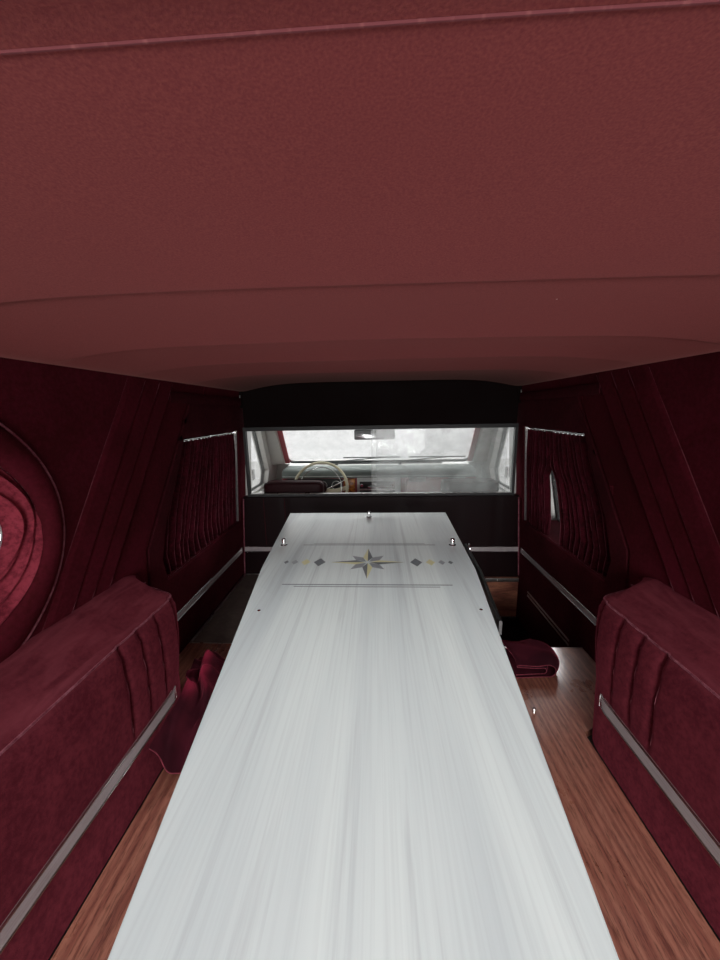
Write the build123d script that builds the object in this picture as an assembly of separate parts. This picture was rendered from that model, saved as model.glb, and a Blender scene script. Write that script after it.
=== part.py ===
from build123d import *
from math import cos, radians, sin, sqrt
import os

os.makedirs("parts", exist_ok=True)

# The trimmed body section of a hearse: the casket compartment, its partition and the front of the cab
# X to the right, Y forward, Z up, in millimetres; Z = 0 is the underside of the sills

# Driving sizes of the body
load_length = 2750          # rear opening to the partition
cab_length = 1380           # partition to the front of the cowl
deck_height = 420           # deck top above the sill's underside
well_height = 160           # top of the low floor, in the well and in the cab
side_top = 1400             # top of the body sides, under the roof
belt_height = 640           # end of the upright part of the outer side
cabin_half_width = 740      # inner side, up to the deck
wall_depth = 190            # covered wall to painted side, upright part
half_width = cabin_half_width + wall_depth
roof_half_width = cabin_half_width + 50
sill_half_width = half_width - 40
sill_turn = 150             # height where the sill's tuck-under ends
wall_lean = 0.06            # inner side leans in by this much per millimetre of height
trim_thick = 12             # covered wall boards
roof_rise = 97              # crown of the roof
ceiling_rise = 62           # crown of the roof's underside
fit = 0.3                   # clearance of a piece that only rests on or in another
door_gap = 8                # gap round a door
side_door_slope = 0.5       # a door's free edge slants forward by this share of the wall's depth
front_door_slope = 0.3
swing_gap = 6               # fixed pieces beside a door's inner face

# The rear loading door stands open at rest, square to the opening
rear_half_width = cabin_half_width - 136
rear_door_bottom = deck_height - 20
rear_door_top = side_top - 110
rear_door_thick = 60
rear_frame_depth = 70
hinge_radius = 8            # outer radius of every door hinge barrel
pin_radius = 4
barrel_height = 46
leaf_thick = 5
leaf_length = 44

rear_axis_x = -(rear_half_width + door_gap)
door_reach = 2 * rear_half_width + door_gap + hinge_radius
body_length = load_length + cab_length
rear_y = door_reach - (door_reach + body_length) / 2
partition_y = rear_y + load_length
front_y = partition_y + cab_length
rear_axis_y = rear_y - hinge_radius
side_axis_x = half_width + hinge_radius

# Places along the body, measured forward from the rear opening
deck_front = load_length - 590
box_rear = 150
box_front = load_length - 930       # inner front corner of the wheelhouse box
arch_middle = load_length - 1400
arch_radius = 400
arch_height = 120                   # height of the wheel arch's centre
oval_middle = arch_middle - 40
side_door_front = load_length + 65
side_door_rear = load_length - 890  # free edge of the side door, on the painted side
front_door_rear = load_length + 135
screen_base = load_length + cab_length - 350
screen_top = screen_base - 480
front_door_front = screen_base + 100
screen_base_height = 880
fire_wall = 40
partition_thick = 45

# Widths between which a cut across the right wall runs
cut_near = cabin_half_width - 140
cut_far = half_width + 70


def at(distance):
    """Y of a place given as its distance forward of the rear opening."""
    return rear_y + distance


def inner_x(z):
    """Half width between the covered walls at a height."""
    return cabin_half_width - wall_lean * max(0, z - deck_height)


def outer_x(z):
    """Half width over the painted sides at a height."""
    if z <= sill_turn:
        return sill_half_width + (half_width - sill_half_width) * z / sill_turn
    if z <= belt_height:
        return half_width
    return half_width - (half_width - roof_half_width) * (z - belt_height) / (side_top - belt_height)


def block(x0, x1, y0, y1, z0, z1):
    """Box between two corners."""
    return Pos((x0 + x1) / 2, (y0 + y1) / 2, (z0 + z1) / 2) * Box(abs(x1 - x0), abs(y1 - y0), abs(z1 - z0))


def prism_x(points, x0, x1):
    """Outline of (y, z) points carried from x0 to x1."""
    outline = Polyline([(x0, y, z) for y, z in points], close=True)
    return extrude(make_face(outline), amount=x1 - x0, dir=(1, 0, 0))


def prism_y(points, y0, y1):
    """Outline of (x, z) points carried from y0 to y1."""
    outline = Polyline([(x, y0, z) for x, z in points], close=True)
    return extrude(make_face(outline), amount=y1 - y0, dir=(0, 1, 0))


def prism_z(points, z0, z1):
    """Outline of (x, y) points carried from z0 to z1."""
    outline = Polyline([(x, y, z0) for x, y in points], close=True)
    return extrude(make_face(outline), amount=z1 - z0, dir=(0, 0, 1))


def rod(start, end, radius):
    """Round bar from one point to another."""
    a = Vector(*start)
    b = Vector(*end)
    return extrude(Plane(origin=a, z_dir=b - a) * Circle(radius), amount=(b - a).length)


def band(near, far, y0, y1, z0, z1):
    """Slab that follows the right wall: near and far give its faces' half widths at a height."""
    heights = [z0] + [z for z in (sill_turn, deck_height, belt_height) if z0 < z < z1] + [z1]
    points = [(near(z), z) for z in heights] + [(far(z), z) for z in reversed(heights)]
    return prism_y(points, y0, y1)


def inside(offset):
    """Line at a distance outboard of the covered wall."""
    return lambda z: inner_x(z) + offset


def outside(offset):
    """Line at a distance inboard of the painted side."""
    return lambda z: outer_x(z) - offset


def outline_face(points, x, grow):
    """Face of a (y, z) outline at x, pushed out by grow, or in where grow is negative."""
    face = make_face(Polyline([(x, y, z) for y, z in points], close=True))
    return offset(face, amount=grow, kind=Kind.INTERSECTION) if grow else face


def shut_tool(points, free, slope, grow):
    """Tapered block for a door: the outline at the painted side, its free corners slid forward inside."""
    outer_plane = half_width
    inner_plane = cabin_half_width - 120
    slide = (outer_plane - inner_plane) * slope
    far_plane = outer_plane + 60
    spread = 60 * slope
    outer = [(y - (spread if n in free else 0), z) for n, (y, z) in enumerate(points)]
    inner = [(y + (slide if n in free else 0), z) for n, (y, z) in enumerate(points)]
    return loft([outline_face(outer, far_plane, grow), outline_face(inner, inner_plane, grow)], ruled=True)


def cabin_room(offset_out, y0, y1, z0, z1):
    """Space between the covered walls, widened by an offset."""
    heights = [z0] + [z for z in (deck_height,) if z0 < z < z1] + [z1]
    points = [(inner_x(z) + offset_out, z) for z in heights]
    return prism_y(points + [(-x, z) for x, z in reversed(points)], y0, y1)


def oval_tool(half_long, half_high):
    """Oval block across the right wall, on the quarter window's centre."""
    plane = Plane(origin=(cut_near, at(oval_middle), oval_height), x_dir=(0, 1, 0), z_dir=(1, 0, 0))
    return extrude(plane * Ellipse(half_long, half_high), amount=cut_far - cut_near)


def crown(half, edge_z, rise, y):
    """Shallow arch from wall to wall."""
    return ThreePointArc((-half, y, edge_z), (0, y, edge_z + rise), (half, y, edge_z))


def crowned(top, base, y0, y1):
    """Solid between an upper and a lower arch, each given by half width, edge height and rise."""
    upper = crown(*top, y0)
    lower = crown(*base, y0)
    edges = [upper, Line(upper @ 1, lower @ 1), lower, Line(lower @ 0, upper @ 0)]
    return extrude(make_face(Wire(edges)), amount=y1 - y0, dir=(0, 1, 0))


def both(shape):
    """The right piece with its left twin, as two separate solids."""
    return Compound([*shape.solids(), *mirror(shape, about=Plane.YZ).solids()])


def left(shape):
    """Left twin of a right piece."""
    return mirror(shape, about=Plane.YZ)


def coved(half, edge_z, rise, y):
    """Shallow arch that starts flat from both walls, as a padded lining does."""
    foot = half * 0.84
    turn = half * 0.6
    parts = [Line((-half, y, edge_z), (-foot, y, edge_z)),
             ThreePointArc((-foot, y, edge_z), (-half * 0.72, y, edge_z + rise * 0.44), (-turn, y, edge_z + rise * 0.76)),
             ThreePointArc((-turn, y, edge_z + rise * 0.76), (0, y, edge_z + rise), (turn, y, edge_z + rise * 0.76)),
             ThreePointArc((turn, y, edge_z + rise * 0.76), (half * 0.72, y, edge_z + rise * 0.44), (foot, y, edge_z)),
             Line((foot, y, edge_z), (half, y, edge_z))]
    return parts


def hinge(axis_x, axis_y, z):
    """Butt hinge: the fixed sleeves with the pin, and the door's sleeve."""
    half = barrel_height / 2
    pin = Pos(axis_x, axis_y, z) * Cylinder(pin_radius, 2 * barrel_height)
    fixed = pin
    for sign in (-1, 1):
        fixed += Pos(axis_x, axis_y, z + sign * (half + 0.5 + half / 2)) * Cylinder(hinge_radius, half)
    sleeve = Pos(axis_x, axis_y, z) * Cylinder(hinge_radius, barrel_height)
    sleeve -= Pos(axis_x, axis_y, z) * Cylinder(pin_radius + fit, barrel_height)
    return fixed, sleeve


names = []


def save(name, shape):
    """Write one node's file."""
    names.append(name)
    export_step(shape, f"parts/{name}.step")


# Roof: painted panel, crowned, flat flanges on the body sides
flange = 100
roof_top = (roof_half_width, side_top, roof_rise)
roof_under = (roof_half_width - flange, side_top, ceiling_rise)
roof = crowned(roof_top, roof_under, rear_y, at(screen_top))
header_low = side_top - 35
screen_run = (screen_base - screen_top) / (side_top - screen_base_height)
header_front = screen_top + (side_top - header_low) * screen_run - 8
roof_header = prism_x([(at(screen_top - 45), header_low), (at(header_front), header_low), (at(screen_top), side_top),
                       (at(screen_top), side_top + roof_rise), (at(screen_top - 45), side_top + roof_rise)],
                      -roof_half_width + flange, roof_half_width - flange)
roof_room = crowned(roof_top, (roof_half_width, header_low - 1, 0.5), at(screen_top - 60), at(screen_top + 60))
roof += roof_header & roof_room
save("roof_panel", roof)

# Headliner: padded cloth in bays that step down towards the partition
bay_ends = [0] + [load_length - back for back in (1640, 1343, 1068, 825, 532, 0)]
bay_drop = 5
liner_side = side_top - 12
liner_rise = 48
headliner = None
for n in range(len(bay_ends) - 1):
    half = inner_x(side_top) - fit
    start = at(bay_ends[n] + (rear_frame_depth + fit if n == 0 else 0))
    finish = at(bay_ends[n + 1]) - (fit if n == 5 else 0)
    upper = crown(half, side_top - fit, ceiling_rise - 4, start)
    lower = coved(half, liner_side, liner_rise - n * bay_drop, start)
    ends = [Line(upper @ 1, lower[-1] @ 1), Line(upper @ 0, lower[0] @ 0)]
    bay = extrude(make_face(Wire([upper, *lower, *ends])), amount=finish - start, dir=(0, 1, 0))
    headliner = bay if headliner is None else headliner + bay
save("headliner", headliner)

# Body side: outer panel, roof rail, pillars and sill, as thick as the wall
oval_height = deck_height + 640
oval_half_long = 330
oval_half_high = 225
side_window_sill = deck_height + 307
side_window_top = deck_height + 775
side_door_bottom = sill_turn + 20
side_door_top = side_top - 75
side_door_shoulder = load_length - 610
side_door_bend = 870
side_outline = [(at(side_door_front), side_door_bottom), (at(side_door_front), side_door_top),
                (at(side_door_shoulder), side_door_top), (at(side_door_rear), side_door_bend),
                (at(side_door_rear), side_door_bottom)]
front_outline = [(at(front_door_front), side_door_bottom), (at(front_door_front), screen_base_height - 30),
                 (at(screen_base - 80), screen_base_height), (at(screen_top - 70), side_door_top),
                 (at(front_door_rear), side_door_top), (at(front_door_rear), side_door_bottom)]
side_free = (2, 3, 4)
front_free = (4, 5)
wall = band(inside(trim_thick), outside(0), rear_y, front_y, 0, side_top)
screen_slope = [(at(screen_top), side_top + 1), (at(screen_base), screen_base_height),
                (front_y + 1, screen_base_height - 20), (front_y + 1, side_top + 1)]
wall -= prism_x(screen_slope, cut_near, cut_far)
arch = Pos(half_width, at(arch_middle), arch_height) * Rot(0, 90, 0) * Cylinder(arch_radius, 400)
wall_full = wall
wall = wall - arch - oval_tool(oval_half_long, oval_half_high)
wall -= shut_tool(side_outline, side_free, side_door_slope, door_gap)
wall -= shut_tool(front_outline, front_free, front_door_slope, door_gap)

# Covered quarter wall: velvet on board, between the rear opening and the partition
trim = band(inside(0), inside(trim_thick), at(rear_frame_depth) + fit, partition_y, deck_height, side_top - fit)
trim -= oval_tool(oval_half_long, oval_half_high)
trim -= shut_tool(side_outline, side_free, side_door_slope, door_gap)
trim = max(trim.solids(), key=lambda s: s.volume)
save("wall_trim_right", trim)
save("wall_trim_left", left(trim))

# Glass and curtain of the oval quarter window
pane_set = 24
pane_thick = 5
oval_rear = at(oval_middle - 500)
oval_front = at(oval_middle + 500)
oval_room = oval_tool(oval_half_long - fit, oval_half_high - fit)
pane = band(outside(pane_set + pane_thick), outside(pane_set), oval_rear, oval_front, deck_height + 300, side_top - 60)
save("oval_glass", both(pane & oval_room))
oval_cloth = band(inside(20), inside(44), oval_rear, oval_front, deck_height + 300, side_top - 60)
save("oval_curtains", both(oval_cloth & oval_room))

# Side door: as thick as the wall, with its window cut and its cover inside
side_y0 = at(side_door_rear - 160)
side_y1 = at(side_door_front + 185)
door_band = band(inside(trim_thick), outside(0), side_y0, side_y1, side_door_bottom - 70, side_top - 20)
side_door = door_band & shut_tool(side_outline, side_free, side_door_slope, 0)
window_high = side_window_top - side_window_sill
window_corners = [(20, 0), (20, 1), (535, 1), (580, 0.79), (675, 0.42), (708, 0.17), (685, 0)]     # back, share of height
window_outline = [(at(load_length - back), side_window_sill + share * window_high) for back, share in window_corners]
window = prism_x(window_outline, cut_near, cut_far)
side_door -= window
cover_band = band(inside(0), inside(trim_thick), side_y0, side_y1, side_door_bottom, side_door_top)
side_cover = (cover_band & shut_tool(side_outline, side_free, side_door_slope, 0)) - window
save("side_door_trim_right", side_cover)
save("side_door_trim_left", left(side_cover))


def inset_room(points, gap):
    """Block across the wall for an outline pulled in by a gap."""
    return extrude(outline_face(points, cut_near, -gap), amount=cut_far - cut_near, dir=(1, 0, 0))


window_room = inset_room(window_outline, fit)
pane_band = band(outside(pane_set + pane_thick), outside(pane_set), side_y0, side_y1, deck_height + 180, side_top - 20)
side_pane = pane_band & window_room
save("side_door_glass_right", side_pane)
save("side_door_glass_left", left(side_pane))

# Curtains of the side doors: gathered velvet on a rod, the right one parted
rod_radius = 5
cloth_set = 14
cloth_thick = 26
cloth_room = inset_room(window_outline, 8)
rod_drop = 2
cloth_head = side_window_top - rod_drop - 2 * rod_radius - fit
cloth_band = band(inside(cloth_set), inside(cloth_set + cloth_thick), side_y0, side_y1, deck_height + 180, cloth_head)
cloth = cloth_band & cloth_room
save("side_door_curtain_left", left(cloth))
parting = block(cut_near, cut_far, at(load_length - 365), at(load_length - 280), deck_height, side_top)
save("side_door_curtain_right", cloth - parting)

# Bright trim of the side doors: curtain rod and the belt strip on the cover
strip_thick = 5
strip_high = 30
belt_strip_z = deck_height + 145
rod_x = inner_x(side_window_top) + cloth_set + cloth_thick / 2
rod_z = side_window_top - rod_radius - rod_drop
curtain_rod = rod((rod_x, at(load_length - 533), rod_z), (rod_x, partition_y - 20 - fit, rod_z), rod_radius)
belt_strip = band(inside(-strip_thick), inside(0), partition_y - 660, partition_y - 15,
                  belt_strip_z - strip_high / 2, belt_strip_z + strip_high / 2)
door_bright = Compound([*curtain_rod.solids(), *belt_strip.solids()])
save("side_door_bright_right", door_bright)
save("side_door_bright_left", left(door_bright))

# Front door: thick below the belt, a slim frame round its window
front_y0 = at(front_door_rear - 185)
front_y1 = at(front_door_front + 220)
front_door = band(inside(0), outside(0), front_y0, front_y1, side_door_bottom - 70, side_top - 20) \
    & shut_tool(front_outline, front_free, front_door_slope, 0)
front_sill = 745
front_head = side_door_top - 60
front_window = [(at(front_door_rear + 125), front_sill), (at(front_door_rear + 125), front_head),
                (at(screen_top - 85), front_head), (at(screen_base - 140), screen_base_height - 30),
                (at(screen_base - 140), front_sill)]
frame_slim = 60
front_door -= prism_x(front_window, cut_near, cut_far)
front_door -= band(inside(-50), outside(frame_slim), front_y0, front_y1, front_sill - 10, side_top)
front_pane = band(outside(pane_set + pane_thick), outside(pane_set), front_y0, front_y1, front_sill - 40, side_top - 20) \
    & inset_room(front_window, fit)
save("front_door_glass_right", front_pane)
save("front_door_glass_left", left(front_pane))

# Door mirror: chromed head on a short foot ahead of the front door's window
mirror_y = at(screen_base - 80)
mirror_z = screen_base_height - 120
head = fillet(block(half_width + 40, half_width + 170, mirror_y - 25, mirror_y + 25, mirror_z, mirror_z + 95).edges(), 12)
foot = block(outer_x(mirror_z - 60) - 1, half_width + 60, mirror_y - 14, mirror_y + 14, mirror_z - 50, mirror_z + 14)
foot -= band(inside(0), outside(0), mirror_y - 200, mirror_y + 200, mirror_z - 160, mirror_z + 200)
side_mirror = head + foot
save("door_mirror_right", side_mirror)
save("door_mirror_left", left(side_mirror))

# Hinges of the side and front doors, on the outer side
door_hinge_heights = (270, 560)
for axis_y, door_name in ((at(side_door_front) + door_gap / 2, "side"), (at(front_door_front) + door_gap / 2, "front")):
    for z in door_hinge_heights:
        fixed, sleeve = hinge(side_axis_x, axis_y, z)
        half = barrel_height / 2
        for sign in (-1, 1):
            zc = z + sign * (half + 0.5 + half / 2)
            fixed += block(half_width, half_width + leaf_thick, axis_y, axis_y + leaf_length, zc - half / 2, zc + half / 2)
        sleeve += block(half_width, half_width + leaf_thick, axis_y - leaf_length, axis_y, z - half, z + half) \
            - Pos(side_axis_x, axis_y, z) * Cylinder(hinge_radius - 1, barrel_height)
        wall += fixed
        if door_name == "side":
            side_door += sleeve
        else:
            front_door += sleeve
save("body_side_right", wall)
save("body_side_left", left(wall))
save("side_door_right", side_door)
save("side_door_left", left(side_door))
save("front_door_right", front_door)
save("front_door_left", left(front_door))

# Floor: high floor behind, bulkhead, low floor in front, fire wall and cross members
plate = 30
deck_thick = 20
floor_half = cabin_half_width + trim_thick
floor_free = cabin_half_width - swing_gap
door_zone = side_door_rear + 40      # forward of this a door's inner face is beside the floor
high_low = deck_height - deck_thick - plate
floor = block(-floor_half, floor_half, at(rear_frame_depth), at(door_zone), high_low, deck_height - deck_thick)
floor += block(-floor_free, floor_free, at(door_zone), at(deck_front), high_low, deck_height - deck_thick)
floor += block(-floor_free, floor_free, at(deck_front) - plate, at(deck_front), well_height - plate, deck_height - deck_thick)
floor += block(-floor_half, floor_half, at(deck_front) - plate, front_y - fire_wall, well_height - plate, well_height)
floor += cabin_room(trim_thick, front_y - fire_wall, front_y, 0, screen_base_height - 40)
member_places = [350, box_front + 30, load_length - 50, load_length + 750]
for place in member_places:
    top = well_height - plate if place > deck_front else high_low
    floor += block(-floor_half, floor_half, at(place) - 40, at(place) + 40, 20, top)
body_bolt_radius = 8
body_bolt_x = 450
for place in (member_places[0], member_places[-1]):
    for sign in (-1, 1):
        floor -= Pos(sign * body_bolt_x, at(place), 0) * Cylinder(body_bolt_radius, 1000)
for sign in (-1, 1):
    floor -= Pos(sign * floor_half, at(arch_middle), arch_height) * Rot(0, 90, 0) * Cylinder(arch_radius, 380)
save("floor_pan", floor)

# Deck: wood-faced board between the wheelhouse boxes, notched round them
box_inner = cabin_half_width - 195
nose_slope = 0.45           # the boxes' front ends run forward to the wall
nose_lean = 0.25            # and lean forward with height


def nose(x):
    """Y of a wheelhouse box's front end at a half width, level with the deck."""
    return at(box_front - 20) + (x - box_inner) * nose_slope


wide_half = cabin_half_width - fit
deck_outline = [(-wide_half, at(rear_frame_depth) + fit), (wide_half, at(rear_frame_depth) + fit),
                (wide_half, at(door_zone)), (floor_free, at(door_zone)),
                (floor_free, at(deck_front) - 4), (-floor_free, at(deck_front) - 4),
                (-floor_free, at(door_zone)), (-wide_half, at(door_zone))]
deck = prism_z(deck_outline, deck_height - deck_thick, deck_height)
notch_inner = box_inner - 3
notch = prism_z([(notch_inner, at(box_rear) - fit), (cut_far, at(box_rear) - fit), (cut_far, nose(cut_far) + 1),
                 (notch_inner, nose(notch_inner) + 1)], 0, side_top)
deck = deck - notch - left(notch)
save("rear_deck", deck)
edge_strip = block(-floor_free, floor_free, at(deck_front) - 4, at(deck_front), deck_height - deck_thick, deck_height)
save("deck_edge_strip", edge_strip)

# Wheelhouse boxes: padded covers over the wheel arches
box_top = deck_height + 368
box_puff = 52               # the top climbs this much to the wall
box_lean = 0.09
box_edge = 40


def box_face(z):
    """Half width between the wheelhouse boxes at a height."""
    return box_inner + box_lean * (z - deck_height)


box_section = [(box_face(deck_height - deck_thick), deck_height - deck_thick), (box_face(box_top), box_top),
               (inner_x(box_top + box_puff) - fit, box_top + box_puff), (cabin_half_width - fit, deck_height),
               (cabin_half_width - fit, deck_height - deck_thick)]
box_plan = [(cut_near - 150, at(box_rear) - 300), (cut_far, at(box_rear) - 300), (cut_far, nose(cut_far)),
            (cut_near - 150, nose(cut_near - 150))]
lean_room = extrude(Pos(0, -nose_lean * 200, deck_height - 200) * make_face(Polyline(*box_plan, close=True)),
                    amount=900, dir=(0, nose_lean, 1))
wheel_box = prism_y(box_section, at(box_rear), nose(cut_far) + 150) & lean_room
round_edges = wheel_box.edges().filter_by(lambda e: e.center().X < inner_x(box_top) - 30 and e.center().Z > deck_height)
wheel_box = fillet(round_edges, box_edge)
ring_limit = wheel_box
wheel_box -= arch
save("wheelhouse_box_right", wheel_box)
save("wheelhouse_box_left", left(wheel_box))

# Padded ring of the oval quarter window, cut off where it meets the wheelhouse box
ring_half_long = oval_half_long + 41
ring_half_high = oval_half_high + 75
ring_thick = 22
ring = band(inside(-ring_thick), inside(-fit), oval_rear, oval_front, deck_height + 100, side_top - 30)
ring = (ring & (oval_tool(ring_half_long, ring_half_high) - oval_tool(oval_half_long, oval_half_high))) - ring_limit
save("oval_surrounds", both(ring))

# Bright ribbed strips along the boxes
box_strip_z = deck_height + 125
box_strip_half = 22
strip_base = box_face(box_strip_z - box_strip_half)
strip_head = box_face(box_strip_z + box_strip_half)
box_strip = prism_y([(strip_base - 6, box_strip_z - box_strip_half), (strip_base - fit, box_strip_z - box_strip_half),
                     (strip_head - fit, box_strip_z + box_strip_half), (strip_head - 6, box_strip_z + box_strip_half)],
                    at(box_rear + box_edge), nose(box_inner) - box_edge)
save("box_strips", both(box_strip))

# Left front of the floor: level panel on a box; right: open well with a wood-faced front panel
panel_thick = 18
locker = block(-cabin_half_width + 8, -20, at(deck_front) + fit, partition_y - fit, well_height, deck_height - panel_thick)
save("floor_locker", locker)
panel = block(-cabin_half_width + 8, -20, at(deck_front) + fit, partition_y - fit, deck_height - panel_thick, deck_height)
save("left_floor_panel", panel)
well_panel = block(30, cabin_half_width - 12, partition_y - 10 - fit, partition_y - fit, well_height + 4, deck_height - 10)
save("well_panel", well_panel)

# Partition: covered lower panel, header, strips and the sliding panes in their channels
open_low = deck_height + 430
open_high = deck_height + 790
side_clear = 6
low_points = [(-inner_x(well_height) + side_clear, well_height), (inner_x(well_height) - side_clear, well_height),
              (inner_x(deck_height) - side_clear, deck_height), (inner_x(open_low) - side_clear, open_low),
              (-inner_x(open_low) + side_clear, open_low), (-inner_x(deck_height) + side_clear, deck_height)]
low_panel = prism_y(low_points, partition_y, partition_y + partition_thick)
save("partition_panel", low_panel)
head_half = inner_x(side_top) - side_clear
header = crowned((head_half, side_top - fit, ceiling_rise - 4), (head_half, open_high - 1, 1), partition_y, partition_y + partition_thick)
save("partition_header", header)
wide = block(-inner_x(belt_strip_z) + 8, inner_x(belt_strip_z) - 8, partition_y - strip_thick, partition_y,
             belt_strip_z - strip_high / 2, belt_strip_z + strip_high / 2)
foot_strip = block(30, cabin_half_width - 12, partition_y - 10 - fit - strip_thick, partition_y - 10 - fit, well_height + 8, well_height + 30)
head_strip = block(30, cabin_half_width - 12, partition_y - 10 - fit - strip_thick, partition_y - 10 - fit, deck_height - 32, deck_height - 12)
save("partition_strips", Compound([*wide.solids(), *foot_strip.solids(), *head_strip.solids()]))
channel = 26
track_half = inner_x(open_high) - side_clear - 2
low_track = block(-track_half, track_half, partition_y + 8, partition_y + 8 + channel, open_low, open_low + 12)
top_track = block(-track_half, track_half, partition_y + 8, partition_y + 8 + channel, open_high - 20, open_high - 1)
posts = block(-track_half, -track_half + 12, partition_y + 8, partition_y + 8 + channel, open_low + 12, open_high - 20) \
    + block(track_half - 12, track_half, partition_y + 8, partition_y + 8 + channel, open_low + 12, open_high - 20)
save("glass_channels", low_track + top_track + posts)
pane_rear = block(-10, track_half - 12 - fit, partition_y + 14, partition_y + 18, open_low + 12 + fit, open_high - 20 - fit)
pane_front = block(-36, track_half - 40, partition_y + 24, partition_y + 28, open_low + 12 + fit, open_high - 20 - fit)
save("partition_glass", Compound([*pane_rear.solids(), *pane_front.solids()]))

# Rear opening: frame with rounded corners, lower panel and the fixed hinge leaves
frame_room = [(-outer_x(0), 0), (outer_x(0), 0), (outer_x(sill_turn), sill_turn), (outer_x(belt_height), belt_height),
              (outer_x(side_top), side_top), (-outer_x(side_top), side_top), (-outer_x(belt_height), belt_height),
              (-outer_x(sill_turn), sill_turn)]
rear_frame = prism_y(frame_room, rear_y, at(rear_frame_depth))
rear_frame -= band(inside(trim_thick), outside(-10), rear_y - 1, at(rear_frame_depth) + 1, 0, side_top)
rear_frame -= left(band(inside(trim_thick), outside(-10), rear_y - 1, at(rear_frame_depth) + 1, 0, side_top))
rear_hole = block(-rear_half_width - door_gap, rear_half_width + door_gap, rear_y - 1, at(rear_frame_depth) + 1,
                  rear_door_bottom - door_gap, rear_door_top + door_gap)
rear_frame -= rear_hole

# Rear loading door, open, with its window, cover and handle
door_x0 = rear_axis_x + hinge_radius
door_y1 = rear_axis_y - door_gap
door_y0 = door_y1 - 2 * rear_half_width
rear_door = block(door_x0, door_x0 + rear_door_thick - trim_thick, door_y0, door_y1, rear_door_bottom, rear_door_top)
glass_y0 = door_y0 + 130
glass_y1 = door_y1 - 130
rear_glass_low = rear_door_bottom + 400
rear_glass_high = rear_door_top - 80
rear_window = block(door_x0 - 50, door_x0 + 150, glass_y0, glass_y1, rear_glass_low, rear_glass_high)
rear_door -= rear_window
rear_cover = block(door_x0 + rear_door_thick - trim_thick, door_x0 + rear_door_thick, door_y0 + 30, door_y1 - 30,
                   rear_door_bottom + 25, rear_door_top - 25) - rear_window
rear_pane = block(door_x0 + 20, door_x0 + 25, glass_y0 + fit, glass_y1 - fit, rear_glass_low + fit, rear_glass_high - fit)
for z in (rear_door_bottom + 160, rear_door_top - 160):
    fixed, sleeve = hinge(rear_axis_x, rear_axis_y, z)
    half = barrel_height / 2
    for sign in (-1, 1):
        zc = z + sign * (half + 0.5 + half / 2)
        fixed += block(rear_axis_x - leaf_length, rear_axis_x, rear_y - leaf_thick, rear_y, zc - half / 2, zc + half / 2)
    sleeve += block(door_x0 - leaf_thick, door_x0, rear_axis_y - leaf_length, rear_axis_y, z - half, z + half) \
        - Pos(rear_axis_x, rear_axis_y, z) * Cylinder(hinge_radius - 1, barrel_height)
    rear_frame += fixed
    rear_door += sleeve
save("rear_frame", rear_frame)
save("rear_door", rear_door)
save("rear_door_trim", rear_cover)
save("rear_door_glass", rear_pane)
handle = block(door_x0 - 26, door_x0, door_y0 + 60, door_y0 + 84, 660, 684) \
    + block(door_x0 - 26, door_x0 - 14, door_y0 + 60, door_y0 + 200, 660, 684)
save("rear_door_handle", handle)

# Casket table: tapered white board on a black frame, with the pins that hold a casket
table_middle = -40
table_rear = 600
table_rear_half = 121
table_kink_half = 278
table_front_half = 312
table_top = deck_height + 460
board_thick = 18
table_stations = [(table_middle + 24, table_rear, table_rear_half),
                  (table_middle + 3, load_length - 925, table_kink_half),
                  (table_middle - 9, load_length - 406, table_front_half)]     # middle, place forward of the opening, half width
right_edge = [(middle + half, at(place)) for middle, place, half in table_stations]
left_edge = [(middle - half, at(place)) for middle, place, half in reversed(table_stations)]
board = prism_z(right_edge + left_edge, table_top - board_thick, table_top)
save("table_board", board)
leg = 30
frame_low = table_top - board_thick - leg
rail_rear = at(table_rear + 80)
rail_front = at(load_length - 550)
table_frame = block(table_middle - 110, table_middle - 80, rail_rear, rail_front, frame_low, frame_low + leg)
table_frame += block(table_middle + 80, table_middle + 110, rail_rear, rail_front, frame_low, frame_low + leg)
for place, half in ((table_rear + 160, 120), (load_length - 850, 230)):
    table_frame += block(table_middle - half, table_middle + half, at(place), at(place) + leg, frame_low, frame_low + leg)
    for sign in (-1, 1):
        edge = table_middle + sign * half
        table_frame += block(edge, edge - sign * leg, at(place), at(place) + leg, deck_height, frame_low + leg)
save("table_frame", table_frame)
pin_places = [(table_middle, load_length - 466), (table_middle - 256, load_length - 761),
              (table_middle + 256, load_length - 761)]
bier_pin_radius = 7
bier_pin_length = 22
bier_pins = [Pos(x, at(y), table_top + bier_pin_length / 2) * Cylinder(bier_pin_radius, bier_pin_length)
             for x, y in pin_places]
save("bier_pins", Compound([s for pin in bier_pins for s in pin.solids()]))

# Loose cover cloths beside the table
cloth_rear = at(load_length - 1120)
cloth_left = fillet(block(-box_inner - 125, -box_inner + 75, cloth_rear, cloth_rear + 450, deck_height + fit,
                          deck_height + 118).edges(), 20)
cloth_left -= left(Pos(0, 38, 0) * prism_z([(notch_inner - 3, at(box_rear)), (cut_far, at(box_rear)),
                                           (cut_far, nose(cut_far)), (notch_inner - 3, nose(notch_inner))], 0, side_top))
save("cover_cloth_left", cloth_left)
cloth_right = fillet(block(box_inner - 115, box_inner + 65, at(deck_front - 170), at(deck_front - 20), deck_height + fit,
                           deck_height + 75).edges(), 24)
save("cover_cloth_right", cloth_right)

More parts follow.
